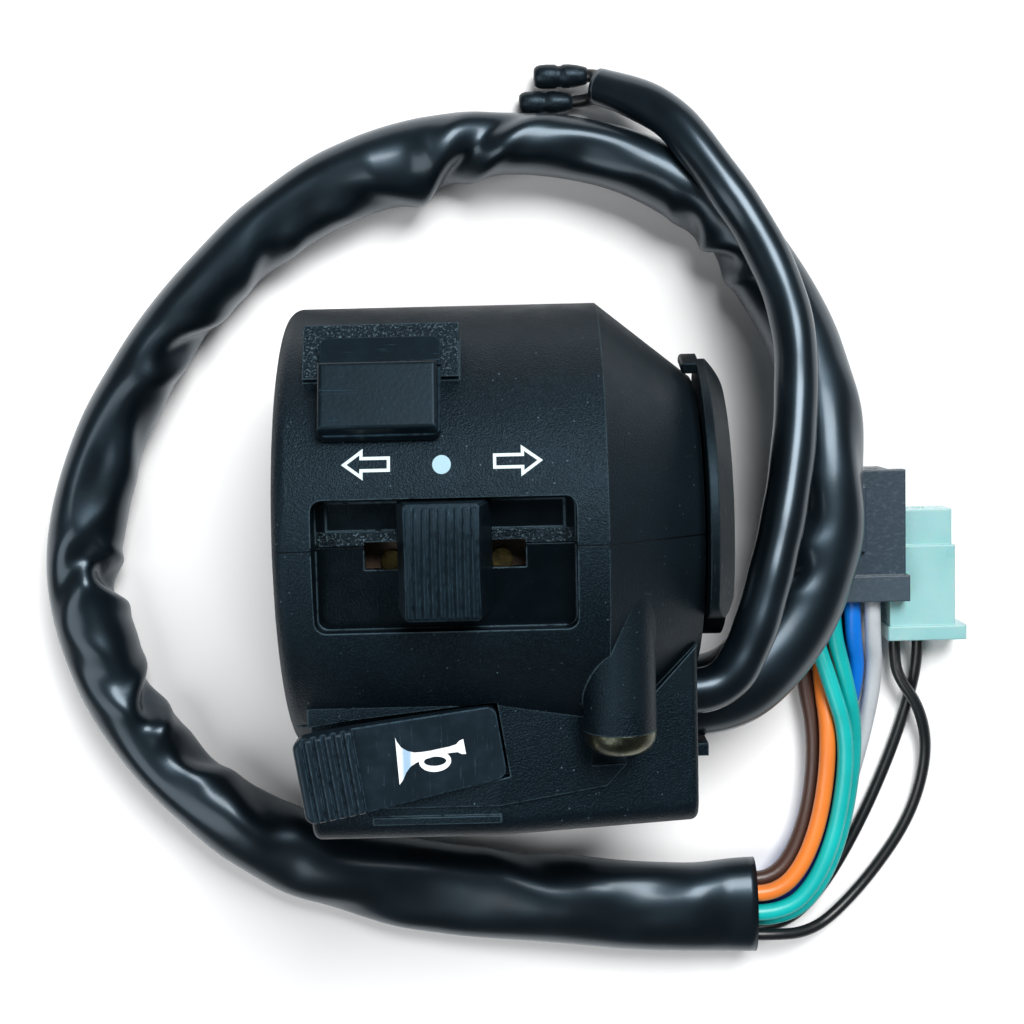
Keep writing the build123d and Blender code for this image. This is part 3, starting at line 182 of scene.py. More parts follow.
# %% [markdown]
# A soft tube that lies in a loop has no round section. It spreads where the table and its own
# weight press it, stands narrow where it is twisted, and buckles on the inner side of each bend
# into folds with a raised lip on each side. The section is therefore worked out ring by ring: an
# oval with its own reach outwards and inwards, minus folds placed where the photograph
# shows them. A vinyl wall can't pass through the table, so its points stop there.

# %% Main sleeve
def smooth(value, low, high):
    """0 below low, 1 above high, and a smooth climb between."""
    share = min(max((value - low) / (high - low), 0.0), 1.0)
    return share * share * (3 - 2 * share)


def ring_frames(points):
    """Each point of a line with its level outer side and the way up across it."""
    frames = []
    last = len(points) - 1
    for index, point in enumerate(points):
        along = (points[min(index + 1, last)] - points[max(index - 1, 0)]).normalized()
        side = along.cross(Vector((0, 0, 1))).normalized()
        frames.append((point, side, side.cross(along).normalized()))
    return frames


def skin(name, *tubes):
    """A mesh of tubes, each through rings of points and closed by a flat face at both ends."""
    shape = bmesh.new()
    for rings in tubes:
        loops = [[shape.verts.new(point) for point in ring] for ring in rings]
        count = len(rings[0])
        for low, high in zip(loops, loops[1:]):
            for step in range(count):
                following = (step + 1) % count
                shape.faces.new((low[step], low[following], high[following], high[step]))
        shape.faces.new(list(reversed(loops[0])))
        shape.faces.new(loops[-1])
    bmesh.ops.recalc_face_normals(shape, faces=shape.faces)
    mesh = bpy.data.meshes.new(name)
    shape.to_mesh(mesh)
    shape.free()
    for face in mesh.polygons:
        face.use_smooth = len(face.vertices) == 4
    tube = bpy.data.objects.new(name, mesh)
    bpy.context.scene.collection.objects.link(tube)
    return tube


def nearest(points, place):
    """The index of the line's point that is nearest to a place on the table, in millimetres."""
    target = mm(*place, 0)
    return min(range(len(points)), key=lambda index: (points[index].xy - target.xy).length)


sleeve_points = line_points("main_sleeve", main_route)
travelled = [0.0]
for before, after in zip(sleeve_points, sleeve_points[1:]):
    travelled.append(travelled[-1] + (after - before).length * 1000)

# Places on the line, with the sleeve's reach to the outside of the loop and to the inside
sleeve_reaches = [
    ((24.3, -23.5), 5.2, 5.2), ((35.2, -19.2), 5.4, 5.3), ((43.6, -2.4), 5.4, 4.8),
    ((44.2, 9.0), 5.4, 4.6), ((42.9, 21.0), 5.0, 4.6), ((38.2, 33.0), 4.4, 5.2),
    ((28.7, 43.6), 4.4, 4.6), ((14.5, 49.8), 4.2, 4.2), ((2.0, 50.5), 4.4, 3.9),
    ((-4.5, 50.5), 4.9, 4.6), ((-11.0, 49.4), 5.1, 6.3), ((-20.4, 46.4), 4.9, 5.4),
    ((-30.0, 40.7), 4.3, 5.2), ((-38.5, 34.0), 3.8, 5.0), ((-48.6, 21.6), 4.0, 4.7),
    ((-54.0, 11.0), 4.5, 5.2), ((-57.6, 0.0), 4.6, 5.6), ((-58.4, -9.0), 4.6, 5.0),
    ((-56.8, -17.0), 4.6, 5.6), ((-52.8, -26.0), 4.8, 4.4), ((-43.6, -38.4), 5.0, 4.4),
    ((-36.0, -44.0), 5.6, 5.2), ((-28.0, -49.0), 6.0, 5.8), ((-9.6, -54.0), 6.3, 6.4),
    ((12.0, -56.2), 6.2, 6.2), ((26.0, -57.3), 6.2, 6.2), ((35.5, -57.3), 6.5, 6.9)]
reach_knots = [(nearest(sleeve_points, place), outer, inner) for place, outer, inner in sleeve_reaches]


def sleeve_reach(index):
    """How far the sleeve reaches outwards and inwards at a point of its line, in millimetres."""
    for (low, *first), (high, *second) in zip(reach_knots, reach_knots[1:]):
        if low <= index <= high:
            share = smooth(index, low, max(high, low + 1))
            return [start + (end - start) * share for start, end in zip(first, second)]
    return reach_knots[-1][1:]


# Each fold: place on the table, angle round the sleeve from its outer side, depth, half length
# along it, half angle round it, and how far it slants
folds = [
    ((-53.0, -8.0), 168, 2.3, 2.0, 50, 2.6), ((-57.5, -5.0), 95, 0.9, 2.6, 34, -3.2),
    ((-49.6, -24.8), 165, 1.9, 2.0, 46, -2.2), ((-54.8, -22.0), 100, 0.7, 2.8, 36, 2.6),
    ((-42.5, -33.0), 160, 1.3, 2.6, 44, 2.2), ((-34.0, -41.5), 150, 0.9, 3.2, 44, -2.4),
    ((-52.4, 14.0), 158, 0.9, 3.4, 40, 2.4), ((-44.0, 25.5), 150, 1.5, 2.6, 46, -2.6),
    ((-31.5, 37.0), 150, 0.9, 2.6, 42, 2.2), ((-4.0, 48.0), 140, 1.7, 2.3, 62, 3.6),
    ((1.0, 50.5), 62, 0.8, 2.8, 40, 3.2), ((-16.0, 46.0), 150, 0.7, 3.0, 40, -2.0),
    ((31.5, 33.5), 165, 1.6, 2.0, 46, 2.2), ((27.0, 38.0), 160, 0.9, 1.9, 40, -1.6),
    ((12.0, 47.0), 120, 0.5, 4.0, 40, 2.0), ((41.6, 2.0), 160, 1.0, 2.6, 46, 2.4),
    ((40.0, -9.0), 150, 1.0, 2.0, 42, -1.8), ((47.0, 6.0), 28, 0.7, 4.6, 34, 2.2),
    ((-20.0, -51.2), 40, 0.6, 4.4, 40, 3.0), ((4.0, -54.0), 160, 0.7, 3.6, 42, -2.4),
    ((20.0, -57.0), 120, 0.5, 4.2, 36, 2.2), ((-54.5, 8.0), 104, 1.2, 8.5, 26, 0.0),
    ((-47.0, -34.0), 98, 0.9, 7.0, 28, 0.0), ((-25.0, 44.0), 106, 0.9, 8.0, 28, 0.0),
    ((14.0, 50.0), 96, 0.7, 7.0, 28, 0.0), ((-8.0, -54.0), 86, 0.7, 9.0, 30, 0.0)]
fold_spots = [(travelled[nearest(sleeve_points, place)], math.radians(angle), depth, half_length,
               math.radians(half_angle), slant)
              for place, angle, depth, half_length, half_angle, slant in folds]


def fold_depth(index, angle):
    """How far the folds draw the sleeve in at one point of it, in millimetres."""
    total = 0.0
    for spot, middle, depth, half_length, half_angle, slant in fold_spots:
        across = math.remainder(angle - middle, 2 * math.pi) / half_angle
        along = (travelled[index] - spot - slant * across) / half_length
        if abs(along) < 4 and abs(across) < 3:
            lips = math.exp(-2.0 * (abs(along) - 1.8) ** 2)
            total += depth * (math.exp(-along * along) - 0.3 * lips) * math.exp(-across * across)
    return total


ring_points = 72
tube_radius = 5.25                 # of the CAD tube, in millimetres like the rest
lowest_half, highest_half = 4.5, 5.8   # limits of half the sleeve's height
girth = 62.7                       # half width and half height, squared and added, stay at this


def sleeve_section(index, shrink=0.0):
    """One ring of the sleeve round its line."""
    point, side, up = sleeve_frames[index]
    outer, inner = sleeve_reach(index)
    spare = girth - ((outer + inner) / 2) ** 2
    tall = min(max(math.sqrt(max(spare, 0.0)), lowest_half), highest_half)
    sink = (tube_radius - tall) * (1 - smooth(point.z * 1000, -18.3, -16.0))
    ring = []
    for step in range(ring_points):
        angle = 2 * math.pi * step / ring_points
        across, rise = math.cos(angle), math.sin(angle)
        drawn_in = fold_depth(index, angle) + shrink
        reach = (outer if across > 0 else inner) - drawn_in
        x = math.copysign(abs(across) ** 0.92, across) * reach
        y = math.copysign(abs(rise) ** 0.92, rise) * (tall - drawn_in * 0.85) - sink
        place = point + side * (x * 0.001) + up * (y * 0.001)
        place.z = max(place.z, table_height)
        ring.append(place)
    return ring


sleeve_frames = ring_frames(sleeve_points)
last = len(sleeve_points) - 1
rings = [sleeve_section(index) for index in range(len(sleeve_points))]
rings += [sleeve_section(last, 0.25), sleeve_section(last, 0.6)]
rings += [sleeve_section(index, 0.7) for index in (last - 1, last - 3)]
main_sleeve = skin("main_sleeve_vinyl", rings)
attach(main_sleeve, "housing")
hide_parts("main_sleeve")
mm(*main_route[0])
print("main sleeve %.1f mm" % (length_of(sleeve_points) * 1000), "rings", len(rings))

# %% [markdown]
# The clutch switch has its own thin sleeve. It is harder, so it stays round and carries one crisp
# line of light. Two short leads come out of its cut end, each into a rubber boot that is turned
# from a profile: narrow where the lead goes in, a waist in the middle, and an open mouth.

# %% Clutch sleeve, leads and boots
clutch_points = line_points("clutch_sleeve", clutch_route)
clutch_frames = ring_frames(clutch_points)


def clutch_section(index, radius):
    """One ring of the thin sleeve."""
    point, side, up = clutch_frames[index]
    sway = 1 + 0.012 * math.sin(index * 0.31)
    angles = [2 * math.pi * step / 40 for step in range(40)]
    reach = radius * sway * 0.001
    return [point + (side * math.cos(angle) * 1.03 + up * math.sin(angle) * 0.97) * reach
            for angle in angles]


last = len(clutch_points) - 1
rings = [clutch_section(index, 2.75 - 0.3 * smooth(index, last - 14, last))
         for index in range(len(clutch_points))]
rings += [clutch_section(last, 2.2), clutch_section(last - 1, 2.15), clutch_section(last - 4, 2.1)]
clutch_sleeve = skin("clutch_sleeve_vinyl", rings)

boot_starts = [(14.0, 59.9, -21.6), (11.9, 56.4, -22.2)]
clutch_leads = cord_line("clutch_lead_insulation", [
    (17.0, 58.7, -19.0), (15.6, 59.3, -20.1), (14.9, 59.9, -21.3), (13.4, 59.9, -21.6)], lead_radius)
lay(clutch_leads.data, [
    (16.6, 57.3, -19.2), (15.2, 57.0, -20.2), (13.8, 56.5, -21.8), (11.3, 56.4, -22.2)], lead_radius)

# Distance from the lead's end of a boot, and the radius there
boot_profile = [(0.0, 0.95), (0.15, 1.15), (0.7, 1.3), (1.6, 1.5), (2.6, 1.62), (3.3, 1.6), (3.7, 1.42),
                (4.1, 1.42), (4.5, 1.62), (5.6, 1.65), (6.5, 1.6), (7.0, 1.45), (7.3, 1.2), (7.4, 0.98),
                (7.2, 0.93), (4.95, 0.92)]


def boot_rings(start):
    """The rings of one boot, which points along -X."""
    return [[mm(start[0] - along, start[1] + radius * math.cos(2 * math.pi * step / 36),
                start[2] + radius * math.sin(2 * math.pi * step / 36)) for step in range(36)]
            for along, radius in boot_profile]


clutch_boots = skin("clutch_boot_rubber", *[boot_rings(start) for start in boot_starts])
for piece, node, slot in ((clutch_sleeve, "clutch_sleeve", "sleeve_vinyl"),
                          (clutch_leads, "clutch_leads", "wire_dark"),
                          (clutch_boots, "clutch_boots", "rubber")):
    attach(piece, "housing")
    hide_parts(node)
mm(*clutch_route[0])
print("clutch sleeve %.1f mm" % (length_of(clutch_points) * 1000))

# %% [markdown]
# Materials are graphs of nodes. Written as plain Python they stay readable: a wrapper round a
# node's output lets 0.4 + 0.2 * grain add the Math nodes by itself, and one method makes any
# other node. Coordinates are the object's own, in metres, so a grain of 0.4 mm is a noise with a
# scale of 2500, whatever the size of the piece.

# %% Shader helpers
class Signal:
    """The output of a node, which sums and products can be written with."""

    def __init__(self, finish, socket):
        self.finish = finish
        self.socket = socket

    def maths(self, operation, *values):
        return self.finish.node("ShaderNodeMath", {"operation": operation}, dict(enumerate(values)))

    def __add__(self, other):
        return self.maths("ADD", self, other)

    def __radd__(self, other):
        return self.maths("ADD", other, self)

    def __sub__(self, other):
        return self.maths("SUBTRACT", self, other)

    def __rsub__(self, other):
        return self.maths("SUBTRACT", other, self)

    def __mul__(self, other):
        return self.maths("MULTIPLY", self, other)

    def __rmul__(self, other):
        return self.maths("MULTIPLY", other, self)

    def __abs__(self):
        return self.maths("ABSOLUTE", self)

    def limited(self):
        """The same, kept from 0 to 1."""
        return self.maths("MINIMUM", self.maths("MAXIMUM", self, 0.0), 1.0)

    def climb(self, low, high):
        """0 at low, 1 at high, and smooth between; low may be the larger."""
        return self.finish.node("ShaderNodeMapRange", {"interpolation_type": "SMOOTHSTEP"},
                                {"Value": self, "From Min": low, "From Max": high})

    def between(self, low, high, soft=0.2):
        """1 from low to high, and 0 outside."""
        return self.climb(low - soft, low) * self.climb(high + soft, high)


class Finish:
    """A material under construction."""

    def __init__(self, name):
        self.material = bpy.data.materials.new(name)
        self.material.use_nodes = True
        self.tree = self.material.node_tree
        self.tree.nodes.clear()

    def node(self, kind, settings, inputs, output=0):
        """Any node: its settings first, then the values or links of its sockets."""
        made = self.tree.nodes.new(kind)
        for name, value in settings.items():
            setattr(made, name, value)
        for name, value in inputs.items():
            socket = made.inputs[name]
            if isinstance(value, Signal):
                self.tree.links.new(value.socket, socket)
            elif socket.type == "RGBA":
                socket.default_value = (*value, 1.0)
            else:
                socket.default_value = value
        return Signal(self, made.outputs[output])

    def place(self, stretch=(1, 1, 1)):
        """The piece's own coordinates in metres, stretched where a pattern is."""
        place = self.node("ShaderNodeTexCoord", {}, {}, "Object")
        return self.node("ShaderNodeMapping", {}, {"Vector": place, "Scale": stretch})

    def along(self, axis):
        """One coordinate, in millimetres."""
        split = self.node("ShaderNodeSeparateXYZ", {}, {"Vector": self.place()}, "XYZ".index(axis))
        return split * 1000.0

    def noise(self, size, detail=2.0, roughness=0.5, stretch=(1, 1, 1)):
        """Noise whose blobs are about a size across, in millimetres."""
        return self.node("ShaderNodeTexNoise", {},
                         {"Vector": self.place(stretch), "Scale": 1000.0 / size, "Detail": detail,
                          "Roughness": roughness})

    def cells(self, size):
        """Distance to the nearest of scattered points that are a size apart, as a share of it."""
        return self.node("ShaderNodeTexVoronoi", {}, {"Vector": self.place(), "Scale": 1000.0 / size})

    def blend(self, share, first, second):
        """A colour between two."""
        return self.node("ShaderNodeMix", {"data_type": "RGBA"}, {0: share, 6: first, 7: second}, 2)

    def rounded(self, radius):
        """The surface's normal with its edges rounded, for light to catch."""
        return self.node("ShaderNodeBevel", {"samples": 6}, {"Radius": radius * 0.001})

    def edges(self, rounded_normal):
        """1 on sharp edges, where the rounded normal leaves the plain one."""
        plain = self.node("ShaderNodeNewGeometry", {}, {}, "Normal")
        agreement = self.node("ShaderNodeVectorMath", {"operation": "DOT_PRODUCT"},
                              {0: rounded_normal, 1: plain}, "Value")
        return agreement.climb(0.99, 0.92)

    def bump(self, height, depth, normal=None):
        """A normal that shows a height of a depth in millimetres."""
        inputs = {"Height": height, "Distance": depth * 0.001}
        if normal:
            inputs["Normal"] = normal
        return self.node("ShaderNodeBump", {}, inputs)

    def done(self, colour, roughness, normal, **constants):
        """The finished material."""
        inputs = {"Base Color": colour, "Roughness": roughness, "Normal": normal}
        inputs.update({name.replace("_", " "): value for name, value in constants.items()})
        surface = self.node("ShaderNodeBsdfPrincipled", {}, inputs)
        output = self.tree.nodes.new("ShaderNodeOutputMaterial")
        self.tree.links.new(surface.socket, output.inputs["Surface"])
        return self.material


def dress(finish, *pieces):
    """Give a finish to pieces or CAD nodes."""
    for piece in pieces:
        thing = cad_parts[piece] if isinstance(piece, str) else piece
        thing.data.materials.clear()
        thing.data.materials.append(finish)


print("helpers", Signal.__name__, Finish.__name__)

# %% [markdown]
# The housing is black nylon from a mould with a spark-eroded texture: a fine grain that scatters
# the light, so that the black looks blue-grey where it is lit, with tiny bright specks. The cone
# towards the lever is polished smoother, and the window's floor smoother still; that floor is
# also painted darker, as painted shade in the recess. The pad round the dimmer has the coarsest
# grain. Where the halves meet there is a hairline of shadow. Sharp edges are painted lighter,
# partly for wear and partly as a painted highlight.

# %% Housing finish
def housing_finish():
    work = Finish("grained_black_housing")
    x, y, z = work.along("X"), work.along("Y"), work.along("Z")
    grain = work.noise(0.24, 2.0, 0.6)
    cone = x.climb(12.9, 13.6) * y.climb(-20.5, -19.0)
    window = x.between(-20.6, 9.8) * y.between(-9.8, 5.9) * z.climb(24.4, 24.1) * z.climb(21.0, 22.0)
    strip = window * y.between(0.1, 1.7, 0.1)
    pad = (y * 0.5 + z * 0.866).climb(28.02, 28.12) * x.between(-22.2, -3.0) * y.climb(8.0, 9.0)
    calm = (cone * 0.55 + window * 0.95 - strip * 0.95).limited()
    lit = (grain.climb(0.45, 0.7) * (1 - calm) * 0.8 + work.noise(7.0).climb(0.35, 0.7) * 0.2).limited()
    colour = work.blend(lit, (0.0012, 0.0030, 0.0046), (0.0048, 0.0105, 0.0160))
    colour = work.blend(cone * 0.6, colour, (0.0048, 0.0088, 0.0118))
    # Painted shade: the recessed window floor is painted darker.
    colour = work.blend(window * 0.8, colour, (0.0008, 0.0016, 0.0022))
    coarse = work.noise(0.30, 2.0, 0.6).climb(0.52, 0.62) * (pad + strip).limited()
    colour = work.blend(coarse * 0.8, colour, (0.060, 0.095, 0.115))
    specks = work.cells(0.9).climb(0.16, 0.05) * work.noise(1.4).climb(0.5, 0.64) * (1 - calm)
    colour = work.blend((specks * 0.7).limited(), colour, (0.10, 0.16, 0.20))
    seam = abs(y).climb(0.14, 0.04) * z.climb(-24.5, -23.0)
    colour = work.blend(seam * 0.9, colour, (0.001, 0.001, 0.0013))
    edge_normal = work.rounded(0.3)
    edge_wear_and_highlight = work.edges(edge_normal) * abs(y).climb(0.3, 0.6) * work.noise(1.2, 3.0).climb(0.25, 0.5)
    # Sharp edges painted lighter: partly wear, partly a painted highlight.
    colour = work.blend(edge_wear_and_highlight * 0.75, colour, (0.060, 0.100, 0.125))
    height = grain * (1 - calm * 0.85) + coarse * 1.2
    rough = 0.38 + cone * 0.03 - window * 0.2 + strip * 0.12 + work.noise(3.0).climb(0.3, 0.7) * 0.06
    return work.done(colour, rough, work.bump(height, 0.11, edge_normal), Specular_IOR_Level=0.2,
                     Specular_Tint=(0.50, 0.78, 1.0))


housing = housing_finish()
dress(housing, "upper_housing", "lower_housing")
print("housing finish nodes", len(housing.node_tree.nodes))

# %% [markdown]
# The knobs, the paddle and the lever are moulded from a harder plastic with a satin skin. Thumbs
# have polished them and left fine scratches, mostly across the way they are pushed. A scratch is
# a noise stretched thirty times along one axis, cut to its thin bright crests.

# %% Finish of the controls
def control_finish(name, tone, rough, scratch_axis, edge=0.3, gloss=0.0, scratched=0.35):
    work = Finish(name)
    stretch = [1.0, 1.0, 1.0]
    stretch[scratch_axis] = 0.03
    scratches = work.noise(0.22, 1.0, 0.4, stretch).climb(0.62, 0.72) * work.noise(2.4).climb(0.45, 0.65)
    wear = work.noise(4.0, 4.0, 0.6).climb(0.4, 0.72)
    specks = work.cells(1.3).climb(0.09, 0.03) * work.noise(2.0).climb(0.5, 0.62)
    edge_normal = work.rounded(edge)
    edge_wear_and_highlight = work.edges(edge_normal) * work.noise(0.8, 3.0).climb(0.3, 0.6)
    colour = work.blend(wear, tuple(value * 0.65 for value in tone), tone)
    # Scratches and specks are real marks; the lighter edges are partly wear and partly a painted highlight.
    colour = work.blend((scratches * scratched + edge_wear_and_highlight * 0.55 + specks * 0.6).limited(), colour,
                        tuple(value * 6.0 for value in tone))
    height = work.noise(0.5, 3.0) * 0.6 + scratches * 0.5
    return work.done(colour, rough + wear * 0.08 - scratches * 0.1, work.bump(height, 0.03, edge_normal),
                     Specular_IOR_Level=0.17, Specular_Tint=(0.50, 0.78, 1.0), Coat_Weight=gloss,
                     Coat_Roughness=0.25)


slider_black = control_finish("satin_slider", (0.0048, 0.0100, 0.0145), 0.36, 1, 0.25)
dimmer_black = control_finish("scratched_dimmer", (0.0034, 0.0080, 0.0120), 0.38, 0, 0.3, 0.03,
                              0.45)
paddle_black = control_finish("smooth_paddle", (0.0085, 0.0160, 0.0230), 0.36, 1, 0.35, 0.08, 0.25)
lever_black = control_finish("satin_lever", (0.0030, 0.0056, 0.0074), 0.42, 1)
dress(slider_black, "turn_knob")
dress(dimmer_black, "dimmer_knob")
dress(paddle_black, "horn_paddle")
dress(lever_black, "choke_lever")
print("control finishes", slider_black.name, dimmer_black.name, paddle_black.name, lever_black.name)

# %% [markdown]
# Metal pieces share one recipe with other numbers: the metal's colour, mottled towards a duller
# tone where it has been handled, and fine marks in the gloss. The screws are zinc plated and
# passivated, which tints them olive and straw. The brass under the slots is darkened, partly
# for grease and partly as painted shade from the deep slots.

# %% Metal finishes
def metal_finish(name, bright, dull, rough, patch=1.8):
    work = Finish(name)
    mottle = work.noise(patch, 4.0, 0.6).climb(0.35, 0.7)
    marks = work.noise(0.18, 2.0)
    normal = work.bump(marks, 0.012, work.rounded(0.15))
    return work.done(work.blend(mottle, bright, dull), rough + mottle * 0.12 + marks.climb(0.4, 0.7) * 0.06,
                     normal, Metallic=1.0)


zinc = metal_finish("olive_zinc", (0.13, 0.13, 0.088), (0.030, 0.036, 0.029), 0.22, 2.6)
steel = metal_finish("plain_steel", (0.58, 0.58, 0.60), (0.40, 0.40, 0.42), 0.3)
brass = metal_finish("contact_brass", (0.78, 0.56, 0.24), (0.52, 0.36, 0.16), 0.3)
# Darker brass: partly grease, partly painted shade of the deep slot.
greased_and_shaded_brass = metal_finish("greased_and_shaded_brass", (0.11, 0.090, 0.035), (0.030, 0.026, 0.014), 0.4)
dress(zinc, "housing_screws")
dress(steel, "turn_detent_ball", "turn_detent_spring", "turn_base_screws", "dimmer_detent_ball",
      "dimmer_detent_spring", "dimmer_base_screws", "horn_pin", "horn_spring", "horn_base_screws")
dress(brass, "screw_inserts", "dimmer_moving_contact", "dimmer_fixed_contacts", "horn_moving_contact",
      "horn_fixed_contacts", "clutch_terminals", "black_terminals", "pale_terminals")
dress(greased_and_shaded_brass, "turn_moving_contact", "turn_fixed_contacts")
print("metals", zinc.name, steel.name, brass.name, greased_and_shaded_brass.name)

# %% [markdown]
# Inside sit the contact bases of brown laminate, with faint woven layers, the natural nylon
# slides, and a rubber bush. They show through the slots and openings only, but each still gets
# its own finish, because a part is looked at from every side.

# %% Inner finishes
def laminate_finish():
    work = Finish("brown_laminate")
    weave = work.node("ShaderNodeTexWave", {"bands_direction": "Z"},
                      {"Vector": work.place(), "Scale": 500.0, "Distortion": 1.5, "Detail": 2.0})
    blotch = work.noise(2.0, 4.0).climb(0.3, 0.7)
    colour = work.blend(blotch, (0.060, 0.036, 0.020), (0.110, 0.066, 0.036))
    return work.done(colour, 0.45 + blotch * 0.15, work.bump(weave, 0.02, work.rounded(0.15)))


def natural_nylon_finish():
    work = Finish("natural_nylon")
    cloud = work.noise(3.0, 3.0).climb(0.3, 0.7)
    colour = work.blend(cloud, (0.66, 0.63, 0.54), (0.78, 0.76, 0.69))
    return work.done(colour, 0.4 + cloud * 0.1, work.bump(work.noise(0.4), 0.02, work.rounded(0.2)),
                     Subsurface_Weight=0.15, Subsurface_Scale=0.001)


def rubber_finish(name, tone, rough):
    work = Finish(name)
    dust = work.noise(0.9, 5.0, 0.65).climb(0.5, 0.78)
    colour = work.blend(dust * 0.5, tone, tuple(value * 4 + 0.01 for value in tone))
    return work.done(colour, rough + dust * 0.15, work.bump(work.noise(0.3, 3.0), 0.04, work.rounded(0.3)),
                     Specular_IOR_Level=0.3, Specular_Tint=(0.55, 0.80, 1.0))


laminate = laminate_finish()
nylon = natural_nylon_finish()
bush_rubber = rubber_finish("bush_rubber", (0.0040, 0.0062, 0.0080), 0.55)
boot_rubber = rubber_finish("boot_rubber", (0.0030, 0.0052, 0.0070), 0.38)
dress(laminate, "turn_contact_base", "dimmer_contact_base", "horn_contact_base", "choke_friction_washer")
dress(nylon, "turn_carrier", "dimmer_carrier")
dress(bush_rubber, "harness_grommet")
dress(boot_rubber, clutch_boots)
print("inner finishes", laminate.name, nylon.name, bush_rubber.name, boot_rubber.name)

# %% [markdown]
# Soft vinyl sleeve is nearly black with a satin skin. Its form carries the light, so the bump is
# slight: long shallow waves and a very fine skin. A clear coat over a rougher base gives the
# highlight a bright core with a wide glow, and a little dust dulls it in places.

# %% Sleeve finishes
def vinyl_finish(name, rough, ripple, coat):
    work = Finish(name)
    dust = work.noise(1.2, 5.0, 0.7).climb(0.58, 0.85)
    broad = work.noise(7.0, 1.0, 0.4)
    colour = work.blend(broad.climb(0.35, 0.7), (0.0014, 0.0026, 0.0036), (0.0034, 0.0062, 0.0086))
    colour = work.blend(dust * 0.12, colour, (0.030, 0.048, 0.060))
    normal = work.bump(broad + work.noise(0.4) * 0.02, ripple)
    return work.done(colour, rough + dust * 0.1, normal, Specular_IOR_Level=0.45,
                     Specular_Tint=(0.55, 0.80, 1.0), Coat_Weight=coat, Coat_Roughness=0.2,
                     Coat_Tint=(0.75, 0.90, 1.0))


main_vinyl = vinyl_finish("main_sleeve_skin", 0.35, 0.22, 0.3)
clutch_vinyl = vinyl_finish("clutch_sleeve_skin", 0.31, 0.06, 0.4)
dress(main_vinyl, main_sleeve)
dress(clutch_vinyl, clutch_sleeve)
print("sleeve finishes", main_vinyl.name, clutch_vinyl.name)

# %% [markdown]
# Wire insulation is satin PVC. Each colour gets faint drawn lines along it, slightly grubby
# patches, and a soft highlight. The colours are those of the loom in the photograph, in linear
# light.

# %% Wire finishes
def insulation_finish(name, tone, rough=0.38):
    work = Finish(name)
    grime = work.noise(2.2, 4.0, 0.6).climb(0.5, 0.85)
    shade = work.noise(7.0, 2.0).climb(0.3, 0.7)
    colour = work.blend(shade, tuple(value * 0.86 for value in tone), tone)
    colour = work.blend(grime * 0.3, colour, tuple(value * 0.5 for value in tone))
    normal = work.bump(work.noise(0.5, 2.0), 0.02)
    return work.done(colour, rough + grime * 0.12, normal, Coat_Weight=0.12, Coat_Roughness=0.3)


wire_tones = {"wire_brown": (0.060, 0.026, 0.018), "wire_orange": (0.82, 0.21, 0.028),
              "wire_teal_upper": (0.0, 0.46, 0.44), "wire_navy": (0.006, 0.014, 0.11),
              "wire_teal_lower": (0.0, 0.42, 0.40), "wire_blue": (0.0, 0.19, 0.76),
              "wire_white": (0.56, 0.60, 0.63), "wire_black_inner": (0.0040, 0.0058, 0.0075),
              "wire_black_outer": (0.0042, 0.0060, 0.0078)}
for name, tone in wire_tones.items():
    dress(insulation_finish(name + "_pvc", tone), wires[name])
dark_pvc = insulation_finish("lead_pvc", (0.0035, 0.0052, 0.0068))
dress(dark_pvc, clutch_leads, "turn_switch_wires", "dimmer_switch_wires", "horn_switch_wires")
print("wire finishes", len(wire_tones))

# %% [markdown]
# The two connectors differ: the seven-way one is black nylon with a dusty bloom, and the two-way
# one is milky mint nylon that lets light a little way in, which subsurface scattering gives.

# %% Connector finishes
def black_connector_finish():
    work = Finish("dusty_black_nylon")
    dust = work.noise(0.7, 5.0, 0.7).climb(0.5, 0.75)
    edge_normal = work.rounded(0.3)
    colour = work.blend(dust * 0.5 + 0.1, (0.016, 0.034, 0.052), (0.060, 0.095, 0.125))
    lip = work.along("Y").climb(-9.6, -9.9)
    colour = work.blend(lip * 0.35, colour, (0.070, 0.100, 0.125))
    return work.done(colour, 0.38 + dust * 0.15, work.bump(work.noise(0.5, 3.0), 0.03, edge_normal))


def pale_connector_finish():
    work = Finish("milky_mint_nylon")
    cloud = work.noise(9.0, 2.0).climb(0.3, 0.7)
    colour = work.blend(cloud, (0.25, 0.50, 0.51), (0.31, 0.55, 0.56))
    normal = work.bump(work.noise(0.8, 3.0), 0.03, work.rounded(0.35))
    return work.done(colour, 0.26 + cloud * 0.08, normal, Subsurface_Weight=0.5, Subsurface_Scale=0.002,
                     Coat_Weight=0.2)


dress(black_connector_finish(), "black_connector")
dress(pale_connector_finish(), "pale_connector")
print("connector finishes done")

# %% [markdown]
# The turn arrows, the centre dot and the horn's sign are printed in pale ink. Ink has hardly any
# thickness, but a mesh that lies exactly in another flickers, so each mark is a closed sheet
# that stands about 0.05 mm proud and is sunk a little below the surface it is printed on. Each is a
# band between two rows of points: an outline and the same outline drawn in, or the two sides of
# a stroke.

# %% Printed marks
def inset(outline, distance):
    """The same outline, drawn in by a distance."""
    drawn = []
    count = len(outline)
    for index in range(count):
        before, here, after = (Vector(outline[(index + step) % count]) for step in (-1, 0, 1))
        first = (here - before).normalized()
        second = (after - here).normalized()
        normals = [Vector((-edge.y, edge.x)) for edge in (first, second)]
        middle = (normals[0] + normals[1]).normalized()
        drawn.append(here + middle * (distance / max(middle.dot(normals[0]), 0.3)))
    return drawn


hair = 0.004


